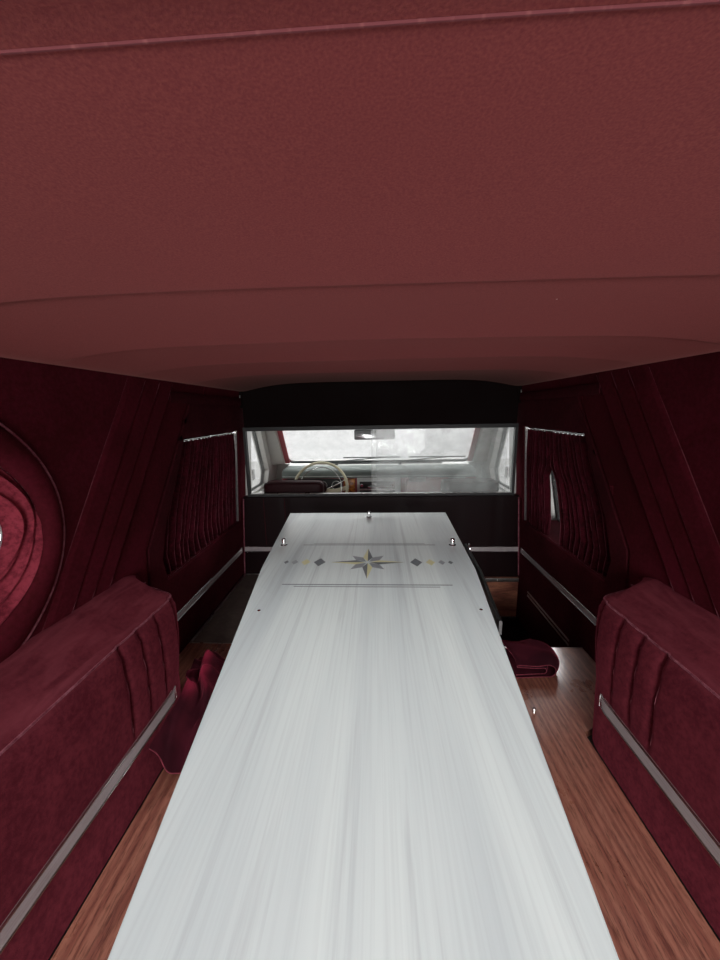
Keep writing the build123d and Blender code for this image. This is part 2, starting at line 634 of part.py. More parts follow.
# Cab: bench seat, headrests, dash, column, wheel, mirror, screen and cowl
seat_half = cabin_half_width - 50
seat_rear = partition_y + partition_thick + 8
cushion_top = well_height + 300
seat_top = cushion_top + 360
cushion = block(-seat_half, seat_half, seat_rear + 120, seat_rear + 620, well_height, cushion_top)
backrest = prism_x([(seat_rear + 60, cushion_top - 160), (seat_rear + 220, cushion_top), (seat_rear + 130, seat_top),
                    (seat_rear, seat_top)], -seat_half, seat_half)
seat = cushion + backrest
save("front_seat", seat)
rest_places = ((-460, 160), (486, 145))
headrests = None
for middle, half in rest_places:
    pad = fillet(block(middle - half, middle + half, seat_rear + 10, seat_rear + 110, seat_top, seat_top + 92).edges(), 22)
    headrests = pad if headrests is None else headrests + pad
save("headrests", headrests)
dash_half = cabin_half_width - 40
dash_front = at(screen_base) - fit
dash_top = screen_base_height - 18
dash = prism_x([(dash_front - 260, dash_top - 282), (dash_front - 290, dash_top - 162), (dash_front - 275, dash_top - 27),
                (dash_front - 210, dash_top + 6), (dash_front, dash_top), (dash_front, dash_top - 262)],
               -dash_half, dash_half)
save("dash", dash)
wheel_x = -398
wheel_y = at(screen_base - 410)
wheel_z = dash_top - 98
rake = radians(27)
away = Vector(0, cos(rake), -sin(rake))
hub = Vector(wheel_x, wheel_y, wheel_z)
wheel_plane = Plane(origin=hub, z_dir=away)
column = extrude(Plane(origin=hub + away * 43.5, z_dir=away) * Circle(30), amount=260)
column -= dash
column = max(column.solids(), key=lambda s: s.volume)
save("steering_column", column)
rim = wheel_plane * Torus(185, 12)
hub_disc = wheel_plane * (Pos(0, 0, 20) * Cylinder(40, 46))
spokes = wheel_plane * (Pos(0, 0, 6) * Box(360, 26, 10))
save("steering_wheel", rim + hub_disc + spokes)
screen_thick = 6
slab = prism_x([(at(screen_top), side_top), (at(screen_base), screen_base_height),
                (at(screen_base) - screen_thick * 1.4, screen_base_height), (at(screen_top) - screen_thick * 1.4, side_top)],
               -half_width, half_width)
screen_room = cabin_room(trim_thick - fit, at(screen_top) - 20, at(screen_base) + 20,
                         screen_base_height - 20, header_low - fit)
screen = slab & screen_room
save("windscreen", screen)
cowl = cabin_room(trim_thick - fit, at(screen_base), front_y, screen_base_height - 40, screen_base_height - 20)
save("cowl", cowl)
cab_mirror_y = at(screen_top - 100)
cab_mirror_z = header_low - 260
mirror_head = fillet(block(-147, 107, cab_mirror_y, cab_mirror_y + 25, cab_mirror_z, cab_mirror_z + 62).edges(), 9)
mirror_arm = rod((-20, cab_mirror_y + 15, cab_mirror_z + 45), (-20, cab_mirror_y + 75, cab_mirror_z + 45), 6)
stalk = rod((-20, cab_mirror_y + 75, cab_mirror_z + 39), (-20, cab_mirror_y + 75, header_low - fit), 6)
save("cab_mirror", mirror_head + mirror_arm + stalk)

print(len(names), "nodes")
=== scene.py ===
import math

import bmesh
import bpy
import numpy as np
from mathutils import Matrix, Vector


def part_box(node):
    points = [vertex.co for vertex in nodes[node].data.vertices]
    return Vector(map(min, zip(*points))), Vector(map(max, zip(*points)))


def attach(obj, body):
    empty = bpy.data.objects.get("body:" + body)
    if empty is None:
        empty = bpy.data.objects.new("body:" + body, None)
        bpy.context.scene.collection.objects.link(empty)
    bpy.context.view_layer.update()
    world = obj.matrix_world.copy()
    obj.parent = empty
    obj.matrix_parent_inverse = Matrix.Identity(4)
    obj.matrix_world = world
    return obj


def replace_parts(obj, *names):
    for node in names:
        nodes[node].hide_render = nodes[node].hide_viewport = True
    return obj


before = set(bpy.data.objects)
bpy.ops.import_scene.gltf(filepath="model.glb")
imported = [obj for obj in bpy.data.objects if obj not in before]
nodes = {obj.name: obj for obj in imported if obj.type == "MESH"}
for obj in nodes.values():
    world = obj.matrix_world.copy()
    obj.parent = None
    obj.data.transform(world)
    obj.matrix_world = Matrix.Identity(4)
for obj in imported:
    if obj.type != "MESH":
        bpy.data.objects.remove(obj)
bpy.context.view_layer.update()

# Camera: held just inside the open rear doorway, above the casket table's end
# Ultra-wide lens, looking forward and about 11 degrees down, rolled by 1 degree
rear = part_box("body_side_right")[0].y       # plane of the rear opening; places forward are measured from it
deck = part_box("rear_deck")[1].z             # top of the deck; heights inside are measured from it
cam_yaw, cam_pitch, cam_roll = math.radians(2.687), math.radians(10.806), math.radians(1.0)
level_share = math.cos(cam_pitch)
sight = Vector((-math.sin(cam_yaw) * level_share, math.cos(cam_yaw) * level_share, -math.sin(cam_pitch)))
level = Vector((math.cos(cam_yaw), math.sin(cam_yaw), 0))
down = sight.cross(level).normalized()
cam_right = level * math.cos(cam_roll) + down * math.sin(cam_roll)
cam_down = -level * math.sin(cam_roll) + down * math.cos(cam_roll)
stand = Matrix((cam_right, -cam_down, -sight)).transposed().to_4x4()
stand.translation = Vector((-0.01, rear + 0.95, deck + 0.86))
lens = bpy.data.cameras.new("camera")
lens.sensor_fit = "HORIZONTAL"
lens.sensor_width = 36
lens.lens = 18
lens.clip_start = 0.02
camera = bpy.data.objects.new("camera", lens)
camera.matrix_world = stand
bpy.context.scene.collection.objects.link(camera)
bpy.context.scene.camera = camera


def piece_of(name, points, faces, finish, body="body", slot=None, crease=50):
    """Object from points and faces: doubles merged, faces outward, edges over the crease angle kept hard."""
    mesh = bpy.data.meshes.new(name)
    mesh.from_pydata(np.reshape(points, (-1, 3)).tolist(), [], faces
                     if isinstance(faces, list) else faces.tolist())
    shape = bmesh.new()
    shape.from_mesh(mesh)
    bmesh.ops.remove_doubles(shape, verts=shape.verts, dist=2e-6)
    bmesh.ops.recalc_face_normals(shape, faces=shape.faces)
    shape.to_mesh(mesh)
    shape.free()
    mesh.shade_smooth()
    mesh.set_sharp_from_angle(angle=math.radians(crease))
    piece = bpy.data.objects.new(name, mesh)
    bpy.context.scene.collection.objects.link(piece)
    mesh.materials.append(finish)
    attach(piece, body)
    return piece


def grid_faces(rows, cols, wrap_rows=False, wrap_cols=False):
    """Quads between neighbours of a grid of points, joined round where it wraps."""
    index = np.arange(rows * cols).reshape(rows, cols)
    below, beside = np.roll(index, -1, 0), np.roll(index, -1, 1)
    quads = np.stack([index, below, np.roll(below, -1, 1), beside], -1)
    quads = quads if wrap_rows else quads[:-1]
    quads = quads if wrap_cols else quads[:, :-1]
    return quads.reshape(-1, 4)


def slab(name, front, back, finish, **kw):
    """Closed board between two grids of one size: its two faces and the rim round them."""
    grid = np.concatenate([front, back[:, ::-1]], axis=1)
    rows, cols = grid.shape[:2]
    index = np.arange(rows * cols).reshape(rows, cols)
    j = np.arange(cols // 2 - 1)
    ends = [np.stack([index[row, j], index[row, j + 1], index[row, cols - 2 - j], index[row, cols - 1 - j]],
                     -1) for row in (0, -1)]
    return piece_of(name, grid, np.concatenate([grid_faces(rows, cols, wrap_cols=True), *ends]), finish, **kw)


def carried(name, path, profile, finish, up=(0, 0, 1), loop=False, turn=np.array, **kw):
    """Closed profile of (aside, up) points carried along a path, its ends drawn to a point in the middle."""
    path = np.asarray(path, float)
    step = np.roll(path, -1, 0) - np.roll(path, 1, 0) if loop else np.gradient(path, axis=0)
    step /= np.linalg.norm(step, axis=1, keepdims=True)
    aside = np.cross(step, np.asarray(up, float))
    aside /= np.linalg.norm(aside, axis=1, keepdims=True)
    above = np.cross(aside, step)
    profile = np.asarray(profile, float)
    rings = path[:, None] + aside[:, None] * profile[:, :1] + above[:, None] * profile[:, 1:]
    if not loop:
        first, last = rings[:1].mean(1, keepdims=True), rings[-1:].mean(1, keepdims=True)
        rings = np.concatenate([np.broadcast_to(first, rings[:1].shape), rings,
                np.broadcast_to(last, rings[:1].shape)])
    faces = grid_faces(*rings.shape[:2], wrap_rows=loop, wrap_cols=True)
    return piece_of(name, turn(rings), faces, finish, **kw)


def line_x(start, end, y, z, count=12):
    """Even points of a straight line across the body."""
    return np.linspace((start, y, z), (end, y, z), count)


def line_y(x, start, end, z, count=12):
    """Even points of a straight line that runs forward."""
    return np.linspace((x, start, z), (x, end, z), count)


def circle(radius, sides=10):
    """Round profile."""
    turn = np.linspace(0, 2 * np.pi, sides, endpoint=False)
    return np.stack([radius * np.cos(turn), radius * np.sin(turn)], -1)


def rounded(width, height, radius, steps=4):
    """Rectangular profile with quarter-circle corners."""
    turn = np.linspace(0, np.pi / 2, steps)
    corners = [np.stack([sx * (width / 2 - radius) + radius * np.cos(turn + start),
            sy * (height / 2 - radius) + radius * np.sin(turn + start)], -1)
               for sx, sy, start in ((1, 1, 0), (-1, 1, np.pi / 2), (-1, -1, np.pi), (1, -1, 3 * np.pi / 2))]
    return np.concatenate(corners)


def mirrored(points):
    """The same points on the left side."""
    return points * np.array([-1.0, 1.0, 1.0])


both_sides = (("right", np.array), ("left", mirrored))


def colour(code, alpha=1.0):
    """Linear colour of an sRGB hex code."""
    channel = np.array([int(code[i:i + 2], 16) for i in (1, 3, 5)]) / 255
    linear = np.where(channel <= 0.04045, channel / 12.92, ((channel + 0.055) / 1.055) ** 2.4)
    return (*linear.tolist(), alpha)


def add(tree, kind, inputs=None, **settings):
    """Shader node of a kind with its settings; an input takes a value or the output that it is linked to."""
    node = tree.nodes.new("ShaderNode" + kind)
    for key, value in settings.items():
        setattr(node, key, value)
    for key, value in (inputs or {}).items():
        if isinstance(value, bpy.types.NodeSocket):
            tree.links.new(value, node.inputs[key])
        else:
            node.inputs[key].default_value = value
    return node


def new_finish(name, rough, metal=0.0, slot=None, **skin_values):
    """Material with its tree, its Principled shader and object coordinates in metres."""
    finish = bpy.data.materials.new(name)
    finish.use_nodes = True
    tree = finish.node_tree
    skin = tree.nodes["Principled BSDF"]
    skin.inputs["Roughness"].default_value = rough
    skin.inputs["Metallic"].default_value = metal
    for key, value in skin_values.items():
        skin.inputs[key.replace("_", " ")].default_value = value
    return finish, tree, skin, add(tree, "TexCoord").outputs["Object"]


def blend_colours(tree, share, low, high):
    """Colour between two hex colours by a share."""
    mix = add(tree, "Mix", {0: share}, data_type="RGBA")
    for socket, code in ((mix.inputs[6], low), (mix.inputs[7], high)):
        if isinstance(code, str):
            socket.default_value = colour(code)
        else:
            tree.links.new(code, socket)
    return mix.outputs[2]


def tint(tree, skin, share, low, high):
    """Base colour between two colours by a share."""
    tree.links.new(blend_colours(tree, share, low, high), skin.inputs["Base Color"])


def roughen(tree, skin, share, least, most):
    """Roughness between two values by a share."""
    tree.links.new(add(tree, "MapRange", {0: share, 3: least, 4: most}).outputs[0], skin.inputs["Roughness"])


def stretch(tree, place, scale, turn=(0, 0, 0)):
    """Coordinates scaled by axis, so that a pattern runs along the axis that is scaled least."""
    return add(tree, "Mapping", {"Vector": place, "Scale": scale, "Rotation": turn}).outputs[0]


def relief(tree, skin, height, depth, strength=1.0):
    """Bump of a height pattern whose full step is the depth in metres."""
    bump = add(tree, "Bump", {"Height": height, "Distance": depth, "Strength": strength})
    tree.links.new(bump.outputs[0], skin.inputs["Normal"])


# Napped nylon knit: matt, with a soft mealy grain and here and there a speck of lint
lining_cloth, tree, skin, place = new_finish("headliner_knit", 0.92, slot="headliner_cloth",
        Sheen_Weight=0.12, Sheen_Roughness=0.4, Sheen_Tint=colour("#d89a90"), Specular_IOR_Level=0.15)
loops = add(tree, "TexNoise", {"Vector": place, "Scale": 620.0, "Detail": 2.0}).outputs[0]   # loops of 1.6 mm
cloud = add(tree, "TexNoise", {"Vector": place, "Scale": 5.0, "Detail": 3.0}).outputs[0]
mealy = add(tree, "MapRange", {0: loops, 1: 0.3, 2: 0.72}).outputs[0]
dusty = blend_colours(tree, cloud, "#83403f", "#8a4845")
knit = blend_colours(tree, mealy, "#743538", dusty)
lint_cells = add(tree, "TexVoronoi", {"Vector": place, "Scale": 11.0})
lint_dot = add(tree, "Math", {0: lint_cells.outputs["Distance"], 1: 0.014}, operation="LESS_THAN").outputs[0]
along = add(tree, "SeparateXYZ", {0: place}).outputs[1]
# Towards the front the knit darkens to near black: painted shade where the doorway light does not reach
painted_shade_share = add(tree, "MapRange", {0: along, 1: rear + 2.05, 2: rear + 2.72, 4: 0.93},
                 interpolation_type="SMOOTHSTEP").outputs[0]
knit = blend_colours(tree, painted_shade_share, knit, "#1c0a0c")
tint(tree, skin, lint_dot, knit, "#cdb9b2")
relief(tree, skin, loops, 0.0006, 0.35)

cabin_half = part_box("rear_deck")[1].x + 0.0003      # half width between the walls at the deck
wall_lean = 0.06                                    # each wall leans in by this much per metre of height
partition_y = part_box("partition_panel")[0].y
lining_z = deck + 0.966                            # height of the lining along the walls
lining_crown = 0.044
lining_turn = 0.66                                  # half width where the padding starts to rise
bow_places = [0.0703, 1.11, 1.407, 1.682, 1.925, 2.218, partition_y - rear - 0.0004]
bow_drops = [0.002, 0.008, 0.018, 0.021, 0.021, 0.008]


def wall_x(z):
    """Half width between the walls at a height."""
    return cabin_half - wall_lean * np.maximum(np.asarray(z, float) - deck, 0)


def lining_rise(x):
    """Share of the crown at a half width: full in the middle, easing to nothing before the wall."""
    return np.clip(1 - (np.abs(x) / lining_turn) ** 6, 0, 1) ** 1.3


lining_half = float(wall_x(lining_z)) - 0.001
across = np.linspace(-lining_half, lining_half, 141)
bay_share = 1 - (1 - np.linspace(0, 1, 17)) ** 1.6
along, hang = [], []
for bay, drop in enumerate(bow_drops):
    start, finish_y = bow_places[bay], bow_places[bay + 1] - 0.010
    along.append(start + (finish_y - start) * bay_share)
    hang.append(drop * bay_share ** 2.2)
    along.append(np.array([finish_y + 0.004]))
    hang.append(np.array([drop * 0.93]))
along, hang = np.concatenate(along), np.concatenate(hang)
along[-1] = bow_places[-1]
X, Y = np.meshgrid(across, rear + along)
ripple = 0.0012 * np.sin(9 * X + 2.3 * np.sin(4 * Y)) * np.sin(7 * Y)
Z = lining_z + (lining_crown + ripple) * lining_rise(X) - hang[:, None] * lining_rise(X) ** 0.8
lining = slab("headliner_cloth", np.stack([X, Y, Z], -1), np.stack([X, Y, Z + 0.009], -1), lining_cloth,
              crease=70)
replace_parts(lining, "headliner")

# Seam where two widths of the cloth are sewn together: a low ridge with its stitches in it
seam_cloth, tree, skin, place = new_finish("headliner_seam_knit", 0.9, slot="headliner_cloth")
stitch = add(tree, "TexNoise", {"Vector": stretch(tree, place, (170, 0, 0)), "Scale": 1.0,
        "Detail": 2.0}).outputs[0]
dash_share = add(tree, "MapRange", {0: stitch, 1: 0.55, 2: 0.7}).outputs[0]
tint(tree, skin, dash_share, "#6c3338", "#824b4b")
seam_x = np.linspace(-0.64, 0.64, 121)
seam_y = rear + 1.124
seam_row = np.argmin(np.abs(Y[:, 0] - seam_y))
seam_path = np.stack([seam_x, np.full(121, seam_y), np.interp(seam_x, across, Z[seam_row]) - 0.0002], -1)
carried("headliner_seam", seam_path, circle(0.0008, 6), seam_cloth)


# Quarter walls: cotton velvet drawn over hardboard, from the rear opening to the partition
# Behind each side door three stuffed flutes lean forward up the wall, sewn down between them
def velvet(name, dark, light, brushed=9.0, sheen=0.5, tint="#c8798a", faded_and_lit=None, slot="velvet"):
    """Cut pile: light catches its tips, brushed patches lie lighter or darker; upward faces may be lightened in
    streaks, painted light from above that also stands for fading.
    """
    finish, tree, skin, place = new_finish(name, 0.9, slot=slot, Sheen_Weight=sheen, Sheen_Roughness=0.32,
            Sheen_Tint=colour(tint), Specular_IOR_Level=0.06)
    patch = add(tree, "TexNoise", {"Vector": place, "Scale": brushed, "Detail": 5.0, "Roughness": 0.62,
            "Distortion": 0.7})
    fine = add(tree, "TexNoise", {"Vector": place, "Scale": 95.0, "Detail": 3.0, "Roughness": 0.7}).outputs[0]
    both = add(tree, "Math", {0: patch.outputs[0], 1: fine}, operation="ADD").outputs[0]
    share = add(tree, "MapRange", {0: both, 1: 0.82, 2: 1.22}).outputs[0]
    pile_colour = blend_colours(tree, share, dark, light)
    # Streaks lightened on upward faces: painted light falling from above, and fading of the pile
    if faded_and_lit:
        facing = add(tree, "SeparateXYZ", {0: add(tree, "NewGeometry").outputs["Normal"]}).outputs[2]
        upward = add(tree, "MapRange", {0: facing, 1: 0.35, 2: 0.95}).outputs[0]
        streaks = add(tree, "TexNoise", {"Vector": stretch(tree, place, (30, 7, 30)), "Scale": 1.0,
                "Detail": 5.0, "Distortion": 1.2})
        streak_share = add(tree, "MapRange", {0: streaks.outputs[0], 1: 0.42, 2: 0.68, 3: 0.25,
                4: 0.95}).outputs[0]
        faded_and_lit_share = add(tree, "Math", {0: upward, 1: streak_share}, operation="MULTIPLY").outputs[0]
        pile_colour = blend_colours(tree, faded_and_lit_share, pile_colour, faded_and_lit)
    tree.links.new(pile_colour, skin.inputs["Base Color"])
    pile = add(tree, "TexNoise", {"Vector": place, "Scale": 650.0, "Detail": 2.0}).outputs[0]   # tufts 1.5 mm
    relief(tree, skin, pile, 0.0009, 0.6)
    return finish


def faced(name, node, facing, finish, swell=0.0, edge=0.005, back=0.011, step=0.02, dent=None, **kw):
    """Cover on one face of a CAD board: the face cut into a grid, rolled off at its edges, the board behind."""
    facing = Vector(facing).normalized()
    shape = bmesh.new()
    shape.from_mesh(nodes[node].data)
    bmesh.ops.remove_doubles(shape, verts=shape.verts, dist=1e-5)
    shape.normal_update()
    bmesh.ops.delete(shape, geom=[face for face in shape.faces if face.normal.dot(facing) < 0.97],
                     context="FACES")
    for part in (0.3, 0.7):
        bmesh.ops.inset_region(shape, faces=shape.faces, thickness=edge * part, use_boundary=True,
                use_even_offset=True)
    points = np.array([vert.co for vert in shape.verts])
    low, high = points.min(0), points.max(0)
    for axis in [axis for axis in range(3) if abs(facing[axis]) < 0.5]:
        for place in np.arange(low[axis] + step / 2, high[axis], step):
            normal = [float(axis == other) for other in range(3)]
            bmesh.ops.bisect_plane(shape, geom=[*shape.verts, *shape.edges, *shape.faces], dist=1e-5,
                    plane_co=[place * share for share in normal], plane_no=normal)
    rim = [line.verts for line in shape.edges if line.is_boundary]
    starts = np.array([pair[0].co for pair in rim])
    runs = np.array([pair[1].co for pair in rim]) - starts
    points = np.array([vert.co for vert in shape.verts])
    gap = points[:, None] - starts
    share = np.clip((gap * runs).sum(2) / np.maximum((runs ** 2).sum(1), 1e-12), 0, 1)
    distance = np.linalg.norm(gap - share[..., None] * runs, axis=2).min(1)
    roll = np.clip(1 - distance / edge, 0, 1)
    lift = -edge * (1 - np.sqrt(1 - roll ** 2)) + swell * np.clip(distance / 0.06, 0, 1) ** 0.7
    if dent is not None:
        lift = lift - dent(points)
    front = list(shape.verts)
    deep = bmesh.ops.extrude_face_region(shape, geom=[*shape.verts, *shape.edges, *shape.faces])["geom"]
    for vert in [item for item in deep if isinstance(item, bmesh.types.BMVert)]:
        vert.co -= facing * back
    for vert, height in zip(front, lift):
        vert.co += facing * float(height)
    shape.verts.index_update()
    points = [vert.co[:] for vert in shape.verts]
    faces = [[vert.index for vert in face.verts] for face in shape.faces]
    shape.free()
    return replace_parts(piece_of(name, points, faces, finish, **kw), node)


wall_velvet = velvet("velvet_wall", "#390c12", "#4a121d", brushed=6.0, sheen=0.12, tint="#b03848")
for side, sign in (("right", -1), ("left", 1)):
    cover = faced("wall_cover_" + side, "wall_trim_" + side, (sign, 0, -wall_lean), wall_velvet,
                  dent=lambda p: 0.0012 * np.sin(7 * p[:, 1] + 4 * p[:, 2]) * np.sin(9 * p[:, 2]
            - 3 * p[:, 1]))

# Piping and welts in a lighter pink velvet: the lighter colour paints the highlight along their rounded edges;
# the rim lines paint the highlight on each fold's edge
highlight_piping_velvet = velvet("velvet_piping_highlight", "#5c2832", "#86525c", sheen=0.6)
rim_highlight_velvet = velvet("velvet_rim_highlight", "#4a2028", "#673840", sheen=0.5)
flute_heads = np.array([2.150, 2.078, 2.006, 1.935])      # forward of the rear opening, under the lining
flute_feet = np.array([1.770, 1.712, 1.655, 1.583])       # the same lines at the top of the wheelhouse box
flute_rise = 0.0085


def flutes(count, samples):
    """Share of a flute and its height: a slow swell from its rear line and a steep drop at its front one."""
    share = np.linspace(0, count, count * samples + 1)
    ahead = 1 - share % 1
    return share, (0.5 * np.clip(ahead / 0.22, 0, 1) ** 0.6 + 0.5 * ahead) * np.clip((1 - ahead) / 0.07, 0,
            1) ** 0.5


share, arch = flutes(3, 44)
drop = np.linspace(0, 1, 30)[None, :]
head = np.interp(share, range(4), flute_heads)[:, None]
foot = np.interp(share, range(4), flute_feet)[:, None]
flute_top, flute_drop = deck + 0.9655, 0.5805
Z = flute_top - flute_drop * drop + 0 * head
Y = rear + head + (foot - head) * drop
bulge = flute_rise * arch[:, None] * np.clip(8 * np.minimum(drop, 1 - drop) + 0.25, 0, 1) + 0.0004
face = np.stack([wall_x(Z) - bulge, Y, Z], -1)
board = np.stack([wall_x(Z) + 0.001, Y, Z], -1)
for side, turn in both_sides:
    panel = slab("wall_flutes_" + side, turn(face), turn(board), wall_velvet, crease=75)
    z = np.linspace(lining_z, lining_z - 0.054, 8)
    seam = np.stack([wall_x(z) - 0.0005, rear + 2.385 - 0.72 * (lining_z - z), z], -1)
    carried("wall_seam_" + side, turn(seam), circle(0.0022, 8), wall_velvet, up=(0, 1, 0))
    # A thin lighter line along each flute's edge: painted highlight where the fold catches the light
    for number in range(4):
        z = np.linspace(deck + 0.958, deck + 0.395, 40)
        line = min(number + 0.06, 3)
        head_y, foot_y = np.interp(line, range(4), flute_heads), np.interp(line, range(4), flute_feet)
        proud = flute_rise * 0.90 if number < 3 else 0.0004
        y = rear + head_y + (foot_y - head_y) * (flute_top - z) / flute_drop
        rim = np.stack([wall_x(z) - proud, y, z], -1)
        carried(f"wall_flute_highlight_{number}_{side}", turn(rim), circle(0.0007, 6), rim_highlight_velvet, up=(0, 1, 0))


# Oval quarter windows: a stuffed velvet ring with a piped edge round each opening
# Behind it a parted curtain of velvet is gathered round an inner oval that leaves the glass free; its brighter
# red is painted glow of the light that comes through it from the window
# Rolled stainless steel, brushed along its length: a soft streaked gleam
bright, tree, skin, place = new_finish("stainless_strip", 0.24, metal=1.0, slot="bright_metal")
brushed_line = add(tree, "TexNoise", {"Vector": stretch(tree, place, (30, 4, 900)), "Scale": 1.0,
        "Detail": 3.0}).outputs[0]
dull = add(tree, "TexNoise", {"Vector": place, "Scale": 26.0, "Detail": 4.0}).outputs[0]
tint(tree, skin, dull, "#b8b6b4", "#dcdbd8")
roughen(tree, skin, brushed_line, 0.18, 0.42)
# Chromium plate on castings and tube, polished: sharp reflections under a light haze
chrome, tree, skin, place = new_finish("chrome_plate", 0.08, metal=1.0, slot="bright_metal")
haze = add(tree, "TexNoise", {"Vector": place, "Scale": 40.0, "Detail": 4.0}).outputs[0]
tint(tree, skin, haze, "#cfcfd0", "#e8e8e8")
roughen(tree, skin, haze, 0.05, 0.16)

oval_y, oval_z = rear + 1.31, deck + 0.64
opening_long, opening_high = 0.330, 0.225
ring_long, ring_high = 0.371, 0.300
turn_angle = np.linspace(0, 2 * np.pi, 160, endpoint=False)[:, None]


def on_oval(half_long, half_high, proud):
    """Points of an oval on the right wall, standing proud of it into the cabin."""
    half_long, half_high = np.atleast_2d(half_long), np.atleast_2d(half_high)
    y = oval_y + half_long * np.cos(turn_angle)
    z = oval_z + half_high * np.sin(turn_angle)
    return np.stack([wall_x(z) - proud + 0 * y, y, z], -1)


v = np.linspace(0, 1, 18)[None, :]
crest = 0.013 * np.sin(np.pi * np.clip(v * 1.02, 0, 1)) ** 0.55
long_at = opening_long + (ring_long - opening_long) * v
high_at = opening_high + (ring_high - opening_high) * v
ring_face = on_oval(long_at, high_at, crest)
inner_lip = on_oval(opening_long, opening_high, -0.028)
outer_lip = on_oval(opening_long + 0.006, opening_high + 0.006, -0.028)
ring_points = np.concatenate([inner_lip, ring_face, outer_lip], axis=1)
rings = []
for side, turn in both_sides:
    rings.append(piece_of("oval_ring_" + side, turn(ring_points), grid_faces(160, ring_points.shape[1], True,
            True), wall_velvet, crease=75))
    edge = turn(on_oval(ring_long, ring_high, 0.003)[:, 0])
    carried("oval_piping_" + side, edge, circle(0.0028, 8), highlight_piping_velvet, up=(1, 0, 0), loop=True)
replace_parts(rings[0], "oval_surrounds")

# Brighter than the door curtains: the red paints the glow of light shining through the cloth
backlit_curtain_velvet = velvet("velvet_curtain_painted_backlight", "#561a24", "#84323f", brushed=10.0, sheen=0.6, tint="#f08098")
inner_long, inner_high = 0.285, 0.135
r = np.linspace(0, 1, 91)[None, :]
toward_front = 0.5 + 0.5 * np.cos(turn_angle)
phase = 2.7 * r ** 0.75 + 0.22 * np.sin(2.0 * turn_angle + 0.6)
phase = phase + 0.10 * np.sin(5 * turn_angle + 4 * r) + 0.05 * np.sin(9 * turn_angle)
ridge = 0.5 + 0.5 * np.cos(2 * np.pi * phase)
uneven = 0.55 + 0.45 * np.sin(2.2 * np.pi * phase + 3 * turn_angle) ** 2
fold = ridge ** 1.6 * (0.08 + 0.92 * toward_front ** 3) * uneven
depth = -(0.013 + 0.034 * r ** 1.2 - 0.012 * fold + 0.003 * np.sin(7 * r + 3 * turn_angle))
cloth_face = on_oval(opening_long - 0.0015 + (inner_long - opening_long) * r,
        opening_high - 0.0015 + (inner_high - opening_high) * r, depth)
cloth_back = cloth_face + np.array([0.0016, 0, 0])
curtains = []
for side, turn in both_sides:
    loop_grid = turn(np.concatenate([cloth_face, cloth_back[:, ::-1]], axis=1))
    cloth = piece_of("oval_curtain_" + side, loop_grid, grid_faces(160, loop_grid.shape[1], True, True),
                     backlit_curtain_velvet, crease=80)
    curtains.append(cloth)
    rim = turn(on_oval(inner_long - 0.001, inner_high - 0.001, -0.050)[:, 0])
    carried("oval_rim_" + side, rim, rounded(0.007, 0.012, 0.003), chrome, up=(1, 0, 0), loop=True)
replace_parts(curtains[0], "oval_curtains")


# Wheelhouse boxes: foam and velvet over a plywood tub, round nosed, with a puffed top
# Each has a welt along its top edge and four upright sewn lines towards its nose
box_rear, box_top = rear + 0.150, deck + 0.368
box_inner = cabin_half - 0.195
box_lean, nose_slope, nose_lean, nose_round = 0.09, 0.45, 0.25, 0.060
nose_y = rear + 1.800                               # where the front and inner faces would meet at the deck
# The lighter streaks on the boxes' tops are painted light from above as well as fading
box_velvet = velvet("velvet_box", "#491720", "#5f242d", brushed=11.0, sheen=0.4, tint="#b04a60",
        faded_and_lit="#72343d")

slope_unit = np.array([1.0, nose_slope]) / math.hypot(1.0, nose_slope)
start_point = np.array([box_inner, nose_y - nose_round])
corner_point = np.array([box_inner, nose_y])
end_point = corner_point + slope_unit * nose_round
straight = np.linspace(box_rear, start_point[1], 260)
t = np.linspace(0, 1, 24)[1:, None]
path_straight = np.stack([np.full_like(straight, box_inner), straight], -1)
path_corner = (1 - t) ** 2 * start_point + 2 * t * (1 - t) * corner_point + t ** 2 * end_point
front_run = (cabin_half - 0.002 - end_point[0]) / slope_unit[0]
path_front = end_point + slope_unit * np.linspace(0, 1, 30)[1:, None] * front_run
box_path = np.concatenate([path_straight, path_corner, path_front])
tangent = np.gradient(box_path, axis=0)
tangent /= np.linalg.norm(tangent, axis=1, keepdims=True)
outward = np.stack([-tangent[:, 1], tangent[:, 0]], -1)             # from the box into the cabin
# only the nose leans forward: the lean sets in where the flutes begin
lean_share = np.clip((box_path[:, 1] - (rear + 0.9)) / 0.85, 0, 1) ** 2

edge_round = 0.034
face_z = np.linspace(deck + 0.001, box_top - edge_round, 26)
quarter = np.linspace(0, np.pi / 2, 9)[1:]
top_share = np.linspace(0, 1, 22)[1:]
# four sewn lines, each by its foot and its head, forward of the opening
tuck_places = ((1.812, 1.842), (1.742, 1.765), (1.679, 1.699), (1.615, 1.636))
tuck_heights = (deck + 0.14, deck + 0.366)


def box_flutes(y, z):
    """How far the cover lies in: a knife tuck at each sewn line, steep in front and easing behind."""
    depth = 0
    for places in tuck_places:
        gap = y - rear - np.interp(z, tuck_heights, places)
        tuck = np.where(gap > 0, np.exp(-(np.abs(gap) / 0.0075) ** 1.1), np.exp(-(gap / 0.0028) ** 2))
        depth = np.maximum(depth, tuck)
    foot_fade = np.clip((z - deck - 0.146) / 0.006, 0, 1)
    head_fade = np.clip((box_top - 0.004 - z) / 0.016, 0, 1) ** 0.5
    return 0.0125 * depth * foot_fade * head_fade


def box_row(heights, insets):
    """Plan of the cover at some heights, set in from the path and leaning at the nose."""
    plan = box_path[:, None, :] - outward[:, None, :] * insets[..., None]
    return plan + np.array([0, 1]) * (nose_lean * lean_share[:, None] * (heights - deck))[..., None]


